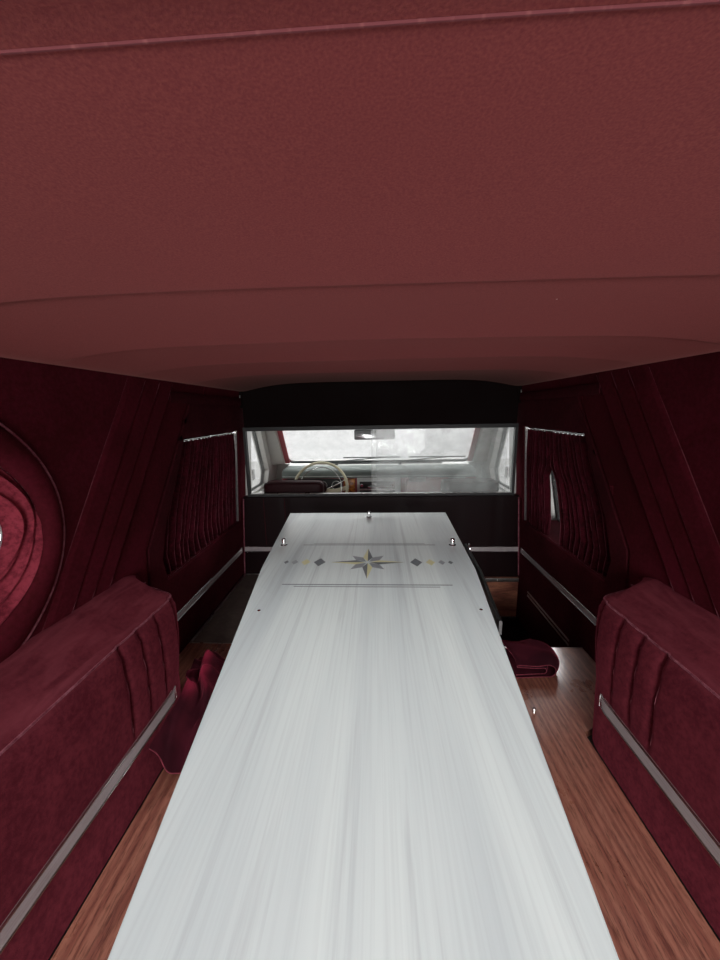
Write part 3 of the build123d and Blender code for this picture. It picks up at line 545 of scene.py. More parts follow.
z = face_z[None, :] + 0 * box_path[:, :1]
swell = 0.007 * np.sin(np.pi * np.clip((z - deck - 0.15) / (box_top - deck - 0.15), 0, 1)) ** 0.8
plan = box_row(z, (z - deck) * box_lean - swell)
plan = box_row(z, (z - deck) * box_lean - swell + box_flutes(plan[..., 1], z))
rows = [np.dstack([plan, z])]
turned_by = quarter[None, :] + 0 * box_path[:, :1]
z = box_top - edge_round + edge_round * np.sin(turned_by)
inset = (box_top - edge_round - deck) * box_lean + edge_round * (1 - np.cos(turned_by))
plan = box_row(z, inset)
plan = box_row(z, inset + box_flutes(plan[..., 1], z) * np.cos(turned_by))
rows.append(np.dstack([plan, z]))
edge_plan = rows[-1][:, -1:, :2]
wall_top = deck + 0.419
last_y = edge_plan[-1, 0, 1]
spine_y = np.minimum(edge_plan[:, 0, 1], last_y - 0.004)
spine = np.stack([np.full(len(box_path), float(wall_x(wall_top)) - 0.001), spine_y], -1)
share_top = top_share[None, :, None]
plan = edge_plan + (spine[:, None, :] - edge_plan) * share_top
ahead = np.clip((last_y - plan[..., 1]) / 0.07, 0, 1) ** 0.5
puff = 0.012 * np.sin(np.pi * share_top[..., 0]) ** 0.8 * ahead
z = box_top + (wall_top - box_top) * share_top[..., 0] ** 1.1 * (0.25 + 0.75 * ahead) + puff
rows.append(np.dstack([plan, z]))
box_skin = np.concatenate(rows, axis=1)
box_skin[..., 0] = np.minimum(box_skin[..., 0], wall_x(box_skin[..., 2]) - 0.0008)
box_back = np.dstack([wall_x(box_skin[..., 2]) - 0.0008, box_skin[..., 1], box_skin[..., 2]])
box_back[..., 1] = np.minimum(box_skin[..., 1], last_y)
piping_line = box_skin[:, len(face_z) + 3]
rim_rows = [row for row in range(len(face_z)) if face_z[row] > deck + 0.156]
# A thin lighter line behind each sewn line: painted highlight on the tuck's edge
tuck_highlights = []
for places in tuck_places:
    rim = []
    for row in rim_rows:
        y = rear + np.interp(face_z[row], tuck_heights, places) - 0.0036
        rim.append([np.interp(y, box_skin[:, row, 1], box_skin[:, row, 0]) - 0.0003, y, face_z[row]])
    tuck_highlights.append(np.array(rim))
for side, turn in both_sides:
    box = slab("wheelhouse_cover_" + side, turn(box_skin), turn(box_back), box_velvet, crease=80)
    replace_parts(box, "wheelhouse_box_" + side)
    carried("wheelhouse_welt_" + side, turn(piping_line + np.array([-0.0008, 0, 0.0008])), circle(0.0024, 8),
            highlight_piping_velvet)
    for number, rim in enumerate(tuck_highlights):
        carried(f"tuck_highlight_{number}_{side}", turn(rim), circle(0.0009, 6), highlight_piping_velvet, up=(0, 1, 0))


# Bright strips: ribbed stainless mouldings, clipped along the boxes, the doors and the partition
# Those of the boxes turn round the noses and end in a plain clip
def ribbed(high, proud, ribs):
    """Moulding's profile: flat behind, with rounded ribs between two plain edges."""
    z = np.linspace(-high / 2, high / 2, 8 * ribs + 5)
    inner = np.abs(z) < high * 0.36
    wave = 0.5 + 0.5 * np.cos(2 * np.pi * ribs * z / (high * 0.72))
    front = np.where(inner, proud * (0.62 + 0.26 * wave), proud * np.clip(2.6 * (1 - np.abs(2 * z / high)),
            0.15, 1))
    return np.concatenate([np.stack([-front, z], -1), [[0, high / 2], [0, -high / 2]]])


# Foiled plastic insert of the strips: silver gone dull, scuffed along its length
insert_vinyl, tree, skin, place = new_finish("strip_insert", 0.30, metal=0.35, slot="bright_metal")
scuffed = add(tree, "TexNoise", {"Vector": stretch(tree, place, (60, 12, 60)), "Scale": 1.0,
        "Detail": 4.0}).outputs[0]
tint(tree, skin, scuffed, "#918789", "#b5acad")

strip_z = 0.125
strip_plan = box_path - outward * (strip_z * box_lean - 0.0002)
strip_plan = strip_plan[(strip_plan[:, 1] > box_rear + 0.04) & (strip_plan[:, 0] < 0.562)]
strip_path = np.column_stack([strip_plan, np.full(len(strip_plan), deck + strip_z)])
strips = []


def bead(name, path, aside, height, turn=np.array, **kw):
    """Chromed edge bead of a moulding, beside its path."""
    return carried(name, path, circle(0.0024, 8) + np.array([aside, height]), chrome, turn=turn, **kw)


for side, turn in both_sides:
    strips.append(carried("box_strip_" + side, strip_path, ribbed(0.033, 0.0052, 4), insert_vinyl, turn=turn))
    for edge, height in (("upper", 0.0155), ("lower", -0.0155)):
        bead(f"box_strip_{edge}_{side}", strip_path, -0.0030, height, turn=turn)
    carried("box_strip_end_" + side, strip_path[-2:], rounded(0.0150, 0.036, 0.0035), chrome, turn=turn)
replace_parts(strips[0], "box_strips")

belt_z = deck + 0.145
window_sill, window_head = deck + 0.307, deck + 0.775
belt_x = float(wall_x(belt_z))
rod_x, rod_z = float(wall_x(window_head)) + 0.027, window_head - 0.007
for side, turn in both_sides:
    path = line_y(belt_x, partition_y - 0.660, partition_y - 0.015, belt_z)
    carried("door_strip_" + side, path, ribbed(0.028, 0.005, 3), insert_vinyl, turn=turn,
            body="side_door_" + side)
    for edge, height in (("upper", 0.0132), ("lower", -0.0132)):
        bead(f"door_strip_{edge}_{side}", path, -0.0026, height, turn=turn, body="side_door_" + side)
    rod = carried("curtain_rod_" + side, line_y(rod_x, rear + 2.217, partition_y - 0.0203, rod_z, 9),
                  circle(0.005, 14), chrome, turn=turn, body="side_door_" + side)
    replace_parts(rod, "side_door_bright_" + side)
low_path = line_y(cabin_half - 0.0002, rear + 2.255, rear + 2.646, deck - 0.05, 8)
for part, offset in (("a", -0.009), ("b", 0.009)):
    carried("door_low_strip_" + part, low_path + np.array([0, 0, offset]), rounded(0.005, 0.009, 0.002),
            bright, body="side_door_right")

path = line_x(0.009 - belt_x, belt_x - 0.009, partition_y - 0.0002, belt_z)
across_strip = carried("partition_strip", path, ribbed(0.028, 0.005, 3) * np.array([-1, 1]), insert_vinyl)
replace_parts(across_strip, "partition_strips")
for edge, height in (("upper", 0.0132), ("lower", -0.0132)):
    bead("partition_strip_" + edge, path, 0.0026, height)
edge_low, edge_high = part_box("left_floor_panel")
path = line_y(0.013 - cabin_half, edge_low.y + 0.004, edge_high.y - 0.004, edge_high.z + 0.0015, 8)
carried("floor_edge_strip", path, rounded(0.010, 0.0030, 0.0012), bright)
well_strips = (("foot", deck - 0.241), ("head", deck - 0.022))
for name, z in well_strips:
    carried("well_strip_" + name, line_x(0.030, cabin_half - 0.0125, partition_y - 0.0105, z, 8),
            rounded(0.005, 0.021, 0.002) + np.array([0.0025, 0]), bright)


def turned(name, foot, axis, outline, finish, sides=20, **kw):
    """Round piece from (height, radius) points along an axis."""
    axis = Vector(axis).normalized()
    first = axis.orthogonal().normalized()
    second = axis.cross(first)
    heights, radii = np.array(outline, float).T
    angle = np.linspace(0, 2 * np.pi, sides, endpoint=False)
    rim = np.cos(angle)[:, None] * np.array(first) + np.sin(angle)[:, None] * np.array(second)
    points = np.array(foot) + heights[:, None, None] * np.array(axis) + radii[:, None, None] * rim[None]
    return piece_of(name, points, grid_faces(len(heights), sides, wrap_cols=True), finish, **kw)


screw_head = [(0, 0), (0, 0.004), (0.0008, 0.0038), (0.0016, 0.0026), (0.0019, 0.0)]
for number, x in enumerate((0.12, 0.37, 0.62)):
    for level_name, (_, z) in zip(("low", "high"), well_strips):
        turned(f"well_screw_{number}_{level_name}", (x, partition_y - 0.0155, z), (0, -1, 0), screw_head,
               chrome, sides=12)
stud_shape = [(0, 0), (0, 0.006), (0.003, 0.0055), (0.011, 0.0045), (0.014, 0.003), (0.015, 0)]
turned("deck_stud", (0.437, rear + 1.864, deck), (0, 0, 1), stud_shape, chrome)


# Deck and floor: plywood faced with glossy walnut laminate, the front edge bound by a bright strip
# The raised panel at the left front and the locker under it are covered in dark sheet flooring
def wood(name, dark, light, rough, coat, along=(9.0, 0.9, 9.0), coat_ior=1.5, slot=None):
    """Printed laminate: long wandering grain with pores drawn along it, under a clear wearing layer."""
    finish, tree, skin, place = new_finish(name, rough, slot=slot, Coat_Weight=coat, Coat_Roughness=0.26)
    drift = add(tree, "TexNoise", {"Vector": stretch(tree, place, tuple(0.35 * share for share in along)),
            "Scale": 1.0, "Detail": 3.0, "Distortion": 1.6})
    bent = add(tree, "VectorMath", {0: stretch(tree, place, along), 1: drift.outputs["Color"]},
               operation="ADD").outputs[0]
    rings = add(tree, "TexWave", {"Vector": bent, "Scale": 1.7, "Distortion": 7.0, "Detail": 3.0,
            "Detail Scale": 1.4}, bands_direction="X").outputs["Fac"]
    pores = add(tree, "TexNoise", {"Vector": stretch(tree, place, tuple(34.0 * share for share in along)),
            "Scale": 1.0, "Detail": 4.0, "Roughness": 0.7}).outputs[0]
    pore_share = add(tree, "MapRange", {0: pores, 1: 0.48, 2: 0.66}).outputs[0]
    ground = blend_colours(tree, rings, light, dark)
    darker = add(tree, "Mix", {0: pore_share, 6: (1, 1, 1, 1), 7: (0.42, 0.36, 0.34, 1)},
                 data_type="RGBA").outputs[2]
    grain = add(tree, "Mix", {0: 1.0, 6: ground, 7: darker}, data_type="RGBA",
                blend_type="MULTIPLY").outputs[2]
    tree.links.new(grain, skin.inputs["Base Color"])
    skin.inputs["Coat IOR"].default_value = coat_ior
    scuff = add(tree, "TexNoise", {"Vector": place, "Scale": 7.0, "Detail": 6.0, "Roughness": 0.7}).outputs[0]
    tree.links.new(add(tree, "MapRange", {0: scuff, 1: 0.35, 2: 0.7, 3: rough * 0.7,
            4: rough * 1.5}).outputs[0], skin.inputs["Roughness"])
    relief(tree, skin, pores, 0.0003, 0.3)
    return finish


def dress(finish, *names):
    """Give CAD nodes a finish."""
    for name in names:
        nodes[name].data.materials.clear()
        nodes[name].data.materials.append(finish)


deck_wood = wood("walnut_laminate", "#744438", "#8d5c4b", 0.34, 1.0, coat_ior=1.9)
well_wood = wood("walnut_well", "#6e4034", "#98644e", 0.4, 0.4, along=(0.9, 9.0, 9.0))
dress(deck_wood, "rear_deck")
dress(well_wood, "well_panel")
dress(bright, "deck_edge_strip")
# Vinyl sheet flooring: mottled brown, with duller patches where it is dirty
flooring, tree, skin, place = new_finish("sheet_flooring", 0.42)
mottle = add(tree, "TexNoise", {"Vector": place, "Scale": 30.0, "Detail": 6.0, "Roughness": 0.7}).outputs[0]
dirt = add(tree, "TexNoise", {"Vector": place, "Scale": 5.0, "Detail": 4.0}).outputs[0]
base = blend_colours(tree, add(tree, "MapRange", {0: mottle, 1: 0.35, 2: 0.65}).outputs[0], "#4c413d",
        "#62564f")
tree.links.new(base, skin.inputs["Base Color"])
roughen(tree, skin, dirt, 0.3, 0.6)
relief(tree, skin, mottle, 0.0005, 0.4)
dress(flooring, "left_floor_panel", "floor_locker")
path = line_y(0.0105 - cabin_half, rear + 2.163, partition_y - 0.002, deck + 0.0008, 8)
carried("floor_edge_left", path, rounded(0.004, 0.0016, 0.0006, 3), bright)
path = line_x(0.012 - cabin_half, -0.024, partition_y - 0.0025, deck + 0.0012, 8)
carried("floor_edge_front", path, rounded(0.004, 0.0024, 0.0008, 3), bright)


# Partition: vinyl-covered lower panel and header, with two sliding panes in black channels between them
def dark_vinyl(name, low, high, rough=0.5, slot="velvet"):
    """Soft vinyl: fine leather-like pebble with a dull shine, uneven where hands have polished it."""
    finish, tree, skin, place = new_finish(name, rough, slot=slot, Specular_IOR_Level=0.1)
    pebble = add(tree, "TexVoronoi", {"Vector": place, "Scale": 520.0}).outputs["Distance"]   # pebbles 2 mm
    rubbed = add(tree, "TexNoise", {"Vector": place, "Scale": 6.0, "Detail": 4.0}).outputs[0]
    tint(tree, skin, rubbed, low, high)
    roughen(tree, skin, rubbed, rough * 0.8, rough * 1.3)
    relief(tree, skin, pebble, 0.0004, 0.5)
    return finish


panel_vinyl = dark_vinyl("partition_vinyl", "#100406", "#18080a")
# The header's near-black colour is painted shade: it stands for the shadow on the front of the roof
shaded_header_vinyl = dark_vinyl("shaded_header_vinyl", "#0b0404", "#100606", rough=0.8)
seam_places = np.array([-0.60, -0.49, -0.19, 0.11, 0.41, 0.60])


def panel_seams(points):
    """Depth of the upright sewn seams."""
    across = np.abs(points[:, :1] - seam_places).min(1)
    return 0.003 * np.exp(-(across / 0.004) ** 2)


faced("partition_cover", "partition_panel", (0, -1, 0), panel_vinyl, back=0.044, step=0.0195,
      dent=panel_seams)
for part, x in (("a", -0.60), ("b", -0.49)):
    path = np.linspace((x, partition_y - 0.001, deck + 0.17), (x, partition_y - 0.001, deck + 0.425), 10)
    carried("partition_seam_" + part, path, circle(0.0012, 6), wall_velvet, up=(0, 1, 0))
faced("partition_header_cover", "partition_header", (0, -1, 0), shaded_header_vinyl, back=0.044)


def up_wall(low, high, gap, y, count):
    """Straight line up the right wall between two heights over the deck, standing in from it by a gap."""
    return np.linspace((wall_x(deck + low) - gap, y, deck + low), (wall_x(deck + high) - gap, y, deck + high),
            count)


# The header's side strips and caps share its painted shade
header_strip = up_wall(0.885, 0.985, 0.0095, partition_y + 0.015, 8)
header_cap = up_wall(0.948, 0.985, 0.0035, partition_y + 0.010, 5)
# The partition's welts share the piping's painted highlight
welt = up_wall(0.002, 0.42, 0.010, partition_y - 0.002, 24)
for name, path, profile, finish, up in (
        ("header_side_strip_", header_strip, rounded(0.050, 0.008, 0.002, 3), shaded_header_vinyl, (1, 0, 0)),
        ("header_side_cap_", header_cap, rounded(0.024, 0.015, 0.002, 3), shaded_header_vinyl, (1, 0, 0)),
        ("partition_welt_", welt, circle(0.0035, 8), highlight_piping_velvet, (0, 1, 0))):
    for side, turn in both_sides:
        carried(name + side, path, profile, finish, up=up, turn=turn)

# Float glass: clear, with smears that catch the light
glass, tree, skin, place = new_finish("clear_glass", 0.0, slot="glass", Alpha=0.16, IOR=1.5)
smear = add(tree, "TexNoise", {"Vector": place, "Scale": 9.0, "Detail": 5.0, "Roughness": 0.65}).outputs[0]
skin.inputs["Base Color"].default_value = colour("#dfe6e4")
roughen(tree, skin, smear, 0.02, 0.16)
tree.links.new(add(tree, "MapRange", {0: smear, 1: 0.35, 2: 0.7, 3: 0.08, 4: 0.2}).outputs[0],
               skin.inputs["Alpha"])
dress(glass, "partition_glass", "windscreen", "side_door_glass_right", "side_door_glass_left",
      "front_door_glass_right", "front_door_glass_left", "rear_door_glass")
# Extruded black rubber: matt, with a faint grey bloom
rubber, tree, skin, place = new_finish("black_rubber", 0.6, slot="underbody_black")
bloom = add(tree, "TexNoise", {"Vector": place, "Scale": 60.0, "Detail": 4.0}).outputs[0]
tint(tree, skin, bloom, "#131314", "#222223")
relief(tree, skin, bloom, 0.0004, 0.4)
dress(rubber, "glass_channels")
dress(bright, "bier_pins")
pane_low, pane_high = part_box("partition_glass")
for x, y in ((pane_low.x + 0.026, pane_low.y + 0.002), (pane_high.x - 0.003, pane_low.y + 0.002),
             (pane_low.x + 0.003, pane_high.y - 0.002)):
    path = np.linspace((x, y, pane_low.z + 0.001), (x, y, pane_high.z - 0.001), 6)
    carried(f"pane_edge_{int(abs(x) * 1000)}", path, rounded(0.0022, 0.006, 0.0006, 3), glass, up=(0, 1, 0))
channel_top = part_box("glass_channels")[0].z + 0.012
path = line_x(-0.68, 0.68, partition_y + 0.0215, channel_top + 0.0006, 6)
carried("channel_lip", path, rounded(0.022, 0.0022, 0.0009, 3), bright)


# Casket table: board with a glossy white foil and bevelled edges on a square black frame
# Long grey streaks run down the foil; three pins stand in it, and an ornament is printed near its front
# White plastic foil under a clear layer: cold white with drawn grey streaks, smeared by hands
board_foil, tree, skin, place = new_finish("white_foil", 0.2, slot="white_board", Coat_Weight=0.3,
        Coat_Roughness=0.08)
long_streak = add(tree, "TexNoise", {"Vector": stretch(tree, place, (46, 1.3, 1)), "Scale": 1.0,
        "Detail": 5.0, "Roughness": 0.6, "Distortion": 0.35}).outputs[0]
broad = add(tree, "TexNoise", {"Vector": stretch(tree, place, (11, 0.8, 1)), "Scale": 1.0,
        "Detail": 2.0}).outputs[0]
fine_streak = add(tree, "TexNoise", {"Vector": stretch(tree, place, (260, 5, 1)), "Scale": 1.0,
        "Detail": 3.0}).outputs[0]
dark_share = add(tree, "MapRange", {0: long_streak, 1: 0.56, 2: 0.74}).outputs[0]
broad_share = add(tree, "MapRange", {0: broad, 1: 0.4, 2: 0.65}).outputs[0]
ground = blend_colours(tree, broad_share, "#e2eeec", "#cedadb")
half_dark = add(tree, "Math", {0: dark_share, 1: 0.55}, operation="MULTIPLY").outputs[0]
streaked = blend_colours(tree, half_dark, ground, "#aab1b5")
fine_share = add(tree, "MapRange", {0: fine_streak, 1: 0.45, 2: 0.7, 4: 0.14}).outputs[0]
tint(tree, skin, fine_share, streaked, "#9aa2a6")
grease = add(tree, "TexNoise", {"Vector": place, "Scale": 3.5, "Detail": 5.0}).outputs[0]
roughen(tree, skin, grease, 0.12, 0.32)
faced("table_face", "table_board", (0, 0, 1), board_foil, edge=0.0022, back=0.0175, step=0.12, crease=40)
# Black enamel on steel tube: half glossy, chipped down to grey here and there
black_paint, tree, skin, place = new_finish("black_enamel", 0.34, slot="underbody_black")
chip = add(tree, "TexNoise", {"Vector": place, "Scale": 90.0, "Detail": 4.0}).outputs[0]
chipped = add(tree, "MapRange", {0: chip, 1: 0.66, 2: 0.7}).outputs[0]
tint(tree, skin, chipped, "#131313", "#4a4a49")
dress(black_paint, "table_frame")

table_x, table_top = -0.040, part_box("table_board")[1].z
pin_shape = [(0, 0), (0, 0.011), (0.0015, 0.011), (0.0025, 0.0068), (0.018, 0.0066), (0.0205, 0.0058),
             (0.0218, 0.0035), (0.0220, 0)]
for name, x, place_d in (("head", 0, 2.284), ("left", -0.256, 1.989), ("right", 0.256, 1.989)):
    pin = turned("bier_pin_" + name, (table_x + x, rear + place_d, table_top), (0, 0, 1), pin_shape, chrome)
    if name == "head":
        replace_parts(pin, "bier_pins")
board = nodes["table_board"]
board_points = np.array([board.matrix_world @ vertex.co for vertex in board.data.vertices])
right_edge = board_points[(board_points[:, 0] > table_x + 0.1) & (board_points[:, 2] > table_top - 0.004)]
right_edge = right_edge[np.argsort(right_edge[:, 1])]
rail_y = rear + np.linspace(1.60, 2.02, 12)
rail = np.column_stack([np.interp(rail_y, right_edge[:, 1], right_edge[:, 0]) + 0.014, rail_y,
        np.full(12, table_top - 0.022)])
carried("table_side_rail", rail, rounded(0.006, 0.030, 0.0015, 3), black_paint)
bent_wire = ((-0.009, -0.004), (-0.009, 0.021), (-0.006, 0.025), (0.006, 0.025), (0.009, 0.021),
             (0.009, -0.004))
staple = rail[-2] + np.array([(0.003, forward, high) for forward, high in bent_wire])
carried("rail_staple", staple, circle(0.0022, 8), chrome, up=(1, 0, 0))
for number, row in enumerate((3, 8)):
    turned(f"rail_screw_{number}", rail[row] + np.array([0.003, 0, 0.004]), (1, 0, 0),
           [(0, 0), (0, 0.0045), (0.0015, 0.004), (0.0026, 0)], chrome, sides=12)
for number, (x, place_d) in enumerate(((-0.255, 1.62), (0.20, 1.63))):
    turned(f"board_screw_{number}", (x, rear + place_d, table_top - 0.0002), (0, 0, 1),
           [(0, 0), (0, 0.0035), (0.0006, 0.003), (0.0009, 0)], chrome, sides=12)


def capped(name, rings, finish, **kw):
    """Closed solid through a stack of rings, with a flat face on the first and on the last."""
    rows, cols = rings.shape[:2]
    ends = [list(range(cols)), list(range((rows - 1) * cols, rows * cols))]
    return piece_of(name, rings, grid_faces(rows, cols, wrap_cols=True).tolist() + ends, finish, **kw)


def printed(name, outline, finish):
    """Thin film of paint on the board: an outline of (across, forward) points about the ornament's middle."""
    outline = np.asarray(outline, float)
    centre = np.array([-0.036, rear + 1.861])
    points = np.column_stack([outline + centre, np.full(len(outline), table_top + 0.0001)])
    return capped(name, np.stack([points, points + np.array([0, 0, 0.00025])]), finish)


def print_ink(name, low, high):
    """Silk-screened ink: thin, a little uneven and less glossy than the foil."""
    finish, tree, skin, place = new_finish(name, 0.42, slot="white_board")
    uneven = add(tree, "TexNoise", {"Vector": stretch(tree, place, (60, 8, 1)), "Scale": 1.0,
            "Detail": 4.0}).outputs[0]
    tint(tree, skin, uneven, low, high)
    return finish


ink_grey = print_ink("ink_grey", "#7f868a", "#969da0")
ink_dark = print_ink("ink_dark", "#5c6367", "#70777a")
ink_pale = print_ink("ink_pale", "#c9c894", "#d3d2a6")


def star_point(angle, reach):
    """Point of the star at an angle and a reach from its middle."""
    return np.array([math.cos(angle), math.sin(angle)]) * reach


for point in range(8):
    angle = point * math.pi / 4
    tip = star_point(angle, 0.062 if point % 2 else 0.098)
    for half, ink in ((-1, ink_grey if point % 2 else ink_dark), (1, ink_grey if point % 2 else ink_pale)):
        root, inner = star_point(angle + half * math.pi / 8, 0.034), star_point(angle, 0.006)
        printed(f"star_{point}_{'a' if half < 0 else 'b'}", [inner, root, tip]
                if half > 0 else [inner, tip, root], ink)
for side in (-1, 1):
    for number, (place_x, size) in enumerate(((0.130, 0.026), (0.168, 0.020), (0.198, 0.015), (0.221, 0.011))):
        diamond = np.array([(size * 0.62, 0), (0, size), (-size * 0.62, 0),
                (0, -size)]) + np.array([side * place_x, 0])
        printed(f"lozenge_{'r' if side > 0 else 'l'}_{number}", diamond,
                (ink_dark, ink_pale, ink_grey, ink_dark)[number])
for front in (-1, 1):
    for row, (reach, half) in enumerate(((0.128, 0.20), (0.138, 0.17))):
        near, far = front * reach - 0.0016, front * reach + 0.0016
        bar = [(-half, near), (half, near), (half, far), (-half, far)]
        printed(f"rule_{'f' if front > 0 else 'r'}_{row}", bar, ink_grey if row else ink_dark)


# Side doors, inside: velvet on board round the window, with a gathered velvet curtain on a chromed rod
# The left curtain is drawn; the right one is parted in the middle
door_velvet = velvet("velvet_door", "#300c12", "#41141b", brushed=7.0, sheen=0.08, tint="#a83848")
for side, sign in (("right", -1), ("left", 1)):
    cover = faced("door_cover_" + side, "side_door_trim_" + side, (sign, 0, -wall_lean), door_velvet,
                  edge=0.006, body="side_door_" + side)

curtain_velvet = velvet("velvet_curtain", "#28080d", "#4b1420", brushed=8.0, sheen=1.2, tint="#c87080")
window_backs = np.array([0.685, 0.708, 0.675, 0.580, 0.535])      # window's rear edge, back from the partition
window_shares = np.array([0.0, 0.17, 0.42, 0.79, 1.0])              # at these shares of its height
window_high = window_head - window_sill
sill_z, head_z = window_sill - 0.006, window_head - 0.0135
bend_shares = (0, 0.30, 0.42, 1)                    # shares of the drop where a parted edge may bend


def hang_curtain(name, side, rear_share, front_share, folds, turn):
    """Pleated cloth from rod to sill, fuller below: a wave of so many folds, shifted by slower waves.

    Its two edges are shares of the window's width, each at the bend shares of the drop.
    """
    u = np.linspace(0, 1, folds * 14 + 1)[:, None]
    v = np.linspace(0, 1, 44)[None, :]
    z = head_z + (sill_z - head_z) * v
    backs = np.interp((z - window_sill) / window_high, window_shares, window_backs) - 0.009
    y_rear = partition_y - backs
    y_front = partition_y - 0.0295
    rear_edge, front_edge = [np.interp(v, bend_shares, share) for share in (rear_share, front_share)]
    w = rear_edge + (front_edge - rear_edge) * (u + 0.012 * np.sin(9 * v + 7 * u) * np.sin(np.pi * u))
    phase = 2 * np.pi * folds * (u + 0.010 * np.sin(5.1 * v + 11 * u)) + 0.7 * np.sin(3.3 * v + 17 * u)
    full = (0.55 + 0.45 * np.clip(v / 0.25, 0, 1)) * (0.78 + 0.22 * np.sin(2.3 * u * folds + 1.7))
    swing = np.sin(phase) + 0.28 * np.sin(2 * phase + 0.6)
    y = y_rear + (y_front - y_rear) * w + 0.0035 * np.cos(phase) * full
    z = z + 0.003 * np.sin(phase * 0.5) * v + 0.0012 * np.sin(3 * phase) * (v < 0.03)
    x = wall_x(z) + 0.0275 + 0.0098 * swing * full
    front = np.stack([x - 0.0008, y, z + 0 * u], -1)
    back = front + np.array([0.0016, 0, 0])
    cloth = slab(name, turn(front), turn(back), curtain_velvet, body="side_door_" + side, crease=80)
    return cloth


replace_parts(hang_curtain("curtain_left", "left", (0, 0, 0, 0), (1, 1, 1, 1), 17, mirrored),
            "side_door_curtain_left")
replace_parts(hang_curtain("curtain_right_rear", "right", (0, 0, 0, 0), (0.59, 0.585, 0.53, 0.50), 9, np.array),
            "side_door_curtain_right")
hang_curtain("curtain_right_front", "right", (0.60, 0.61, 0.675, 0.665), (1, 1, 1, 1), 8, np.array)
for side, sign in (("right", 1), ("left", -1)):
    for place_d in (2.222, 2.47, 2.724):
        turned(f"rod_bracket_{side}_{int(place_d * 1000)}", (sign * rod_x, rear + place_d - 0.004, rod_z),
               (0, 1, 0), [(0, 0), (0, 0.0065), (0.008, 0.0065), (0.008, 0)], chrome, sides=16,
               body="side_door_" + side)


# Stuffed lip over each side door's upper gap, sewn to the wall cover and clear of the door
lip_z = deck + 0.914
lip = np.array([(0.0005, 0.020), (-0.0060, 0.020), (-0.0100, 0.015), (-0.0100, -0.013), (-0.0082, -0.016),
                (-0.0064, -0.013), (-0.0064, 0.006), (0.0005, 0.0085)])
for side, turn in both_sides:
    path = line_y(float(wall_x(lip_z)), rear + 2.120, partition_y - 0.002, lip_z, 40)
    carried("door_head_lip_" + side, path, lip, door_velvet, turn=turn)


# Loose cloths beside the table: hemmed velvet throws left on the deck, modelled in the folds they lie in
# The left one slides down the wheelhouse box and bunches past its nose; the right one is folded on itself
throw_velvet, tree, skin, place = new_finish("velvet_throw", 0.9, slot="velvet", Sheen_Weight=0.7,
        Sheen_Roughness=0.3, Sheen_Tint=colour("#d05a70"), Specular_IOR_Level=0.06)
crush = add(tree, "TexNoise", {"Vector": place, "Scale": 7.0, "Detail": 3.0, "Distortion": 0.9}).outputs[0]
crush_share = add(tree, "MapRange", {0: crush, 1: 0.35, 2: 0.65}).outputs[0]
_, forward, height = add(tree, "SeparateXYZ", {0: place}).outputs
# Crests of the left throw's bunch past the box nose are tinted bright crimson: painted highlight where light
# catches the folds
crest_highlight_share = add(tree, "MapRange", {0: height, 1: deck + 0.060, 2: deck + 0.100, 4: 0.85},
                  interpolation_type="SMOOTHSTEP").outputs[0]
ahead_share = add(tree, "MapRange", {0: forward, 1: rear + 1.775, 2: rear + 1.850},
                  interpolation_type="SMOOTHSTEP").outputs[0]
crest_highlight_share = add(tree, "Math", {0: crest_highlight_share, 1: ahead_share}, operation="MULTIPLY").outputs[0]
crushed = blend_colours(tree, crush_share, "#260b12", "#3d131d")
tint(tree, skin, crest_highlight_share, crushed, "#87243a")
relief(tree, skin, add(tree, "TexNoise", {"Vector": place, "Scale": 650.0, "Detail": 2.0}).outputs[0], 0.0009,
       0.6)
hem_velvet = velvet("velvet_hem", "#4d1a24", "#70303c", brushed=20.0, sheen=0.7, tint="#f0a0ac")


def step_up(value, start, end):
    """Smooth rise from 0 to 1 between two values."""
    share = np.clip((value - start) / (end - start), 0, 1)
    return share * share * (3 - 2 * share)


u = np.linspace(0, 1, 80)[:, None]
v = np.linspace(0, 1, 140)[None, :]
knots = (0, 0.35, 0.45, 0.6, 1.0)
near_x = np.interp(v, knots, (-0.5500, -0.5515, -0.5620, -0.606, -0.640))
near_d = np.interp(v, knots, (1.640, 1.775, 1.845, 1.905, 2.058))
near_z = np.interp(v, knots, (0.086, 0.100, 0.098, 0.060, 0.010))
far_x = np.interp(v, knots, (-0.4760, -0.4745, -0.4745, -0.4750, -0.4780))
far_d = np.interp(v, knots, (1.648, 1.785, 1.830, 1.895, 2.048))
ripple = 0.5 + 0.5 * np.cos(2 * np.pi * (2.1 * u + 1.3 * v + 0.22 * np.sin(7 * v)))
small = 0.5 + 0.5 * np.cos(2 * np.pi * (4.6 * v - 1.7 * u + 0.25 * np.sin(8 * u)))
bunch = np.exp(-((u - 0.50 - 0.10 * np.sin(5 * v)) / 0.17) ** 2)
bunch = bunch * step_up(v, 0.36, 0.60) * (1 - 0.45 * step_up(v, 0.82, 1.0))
second = np.exp(-((u - 0.84 + 0.05 * np.sin(9 * v)) / 0.07) ** 2)
second = second * step_up(v, 0.45, 0.62) * (1 - 0.5 * step_up(v, 0.80, 1.0))
open_edge = np.clip(6 * np.minimum(np.minimum(v, 1 - v), 1 - u), 0, 1) ** 0.7
waves = 0.013 * ripple ** 2 + 0.008 * small ** 2 * (0.4 + step_up(v, 0.3, 0.6))
z = near_z * (1 - u) ** 1.7 + 0.003 + open_edge * waves
z = np.minimum(z + 0.062 * bunch + 0.030 * second, 0.112)
x = near_x + (far_x - near_x) * u + 0.010 * bunch * np.sin(6 * v)
y = rear + near_d + (far_d - near_d) * u
y = y + 0.006 * np.sin(9 * u) * (1 - open_edge) + 0.010 * bunch * np.cos(5 * u)
left_top = np.dstack([x, y, deck + z])

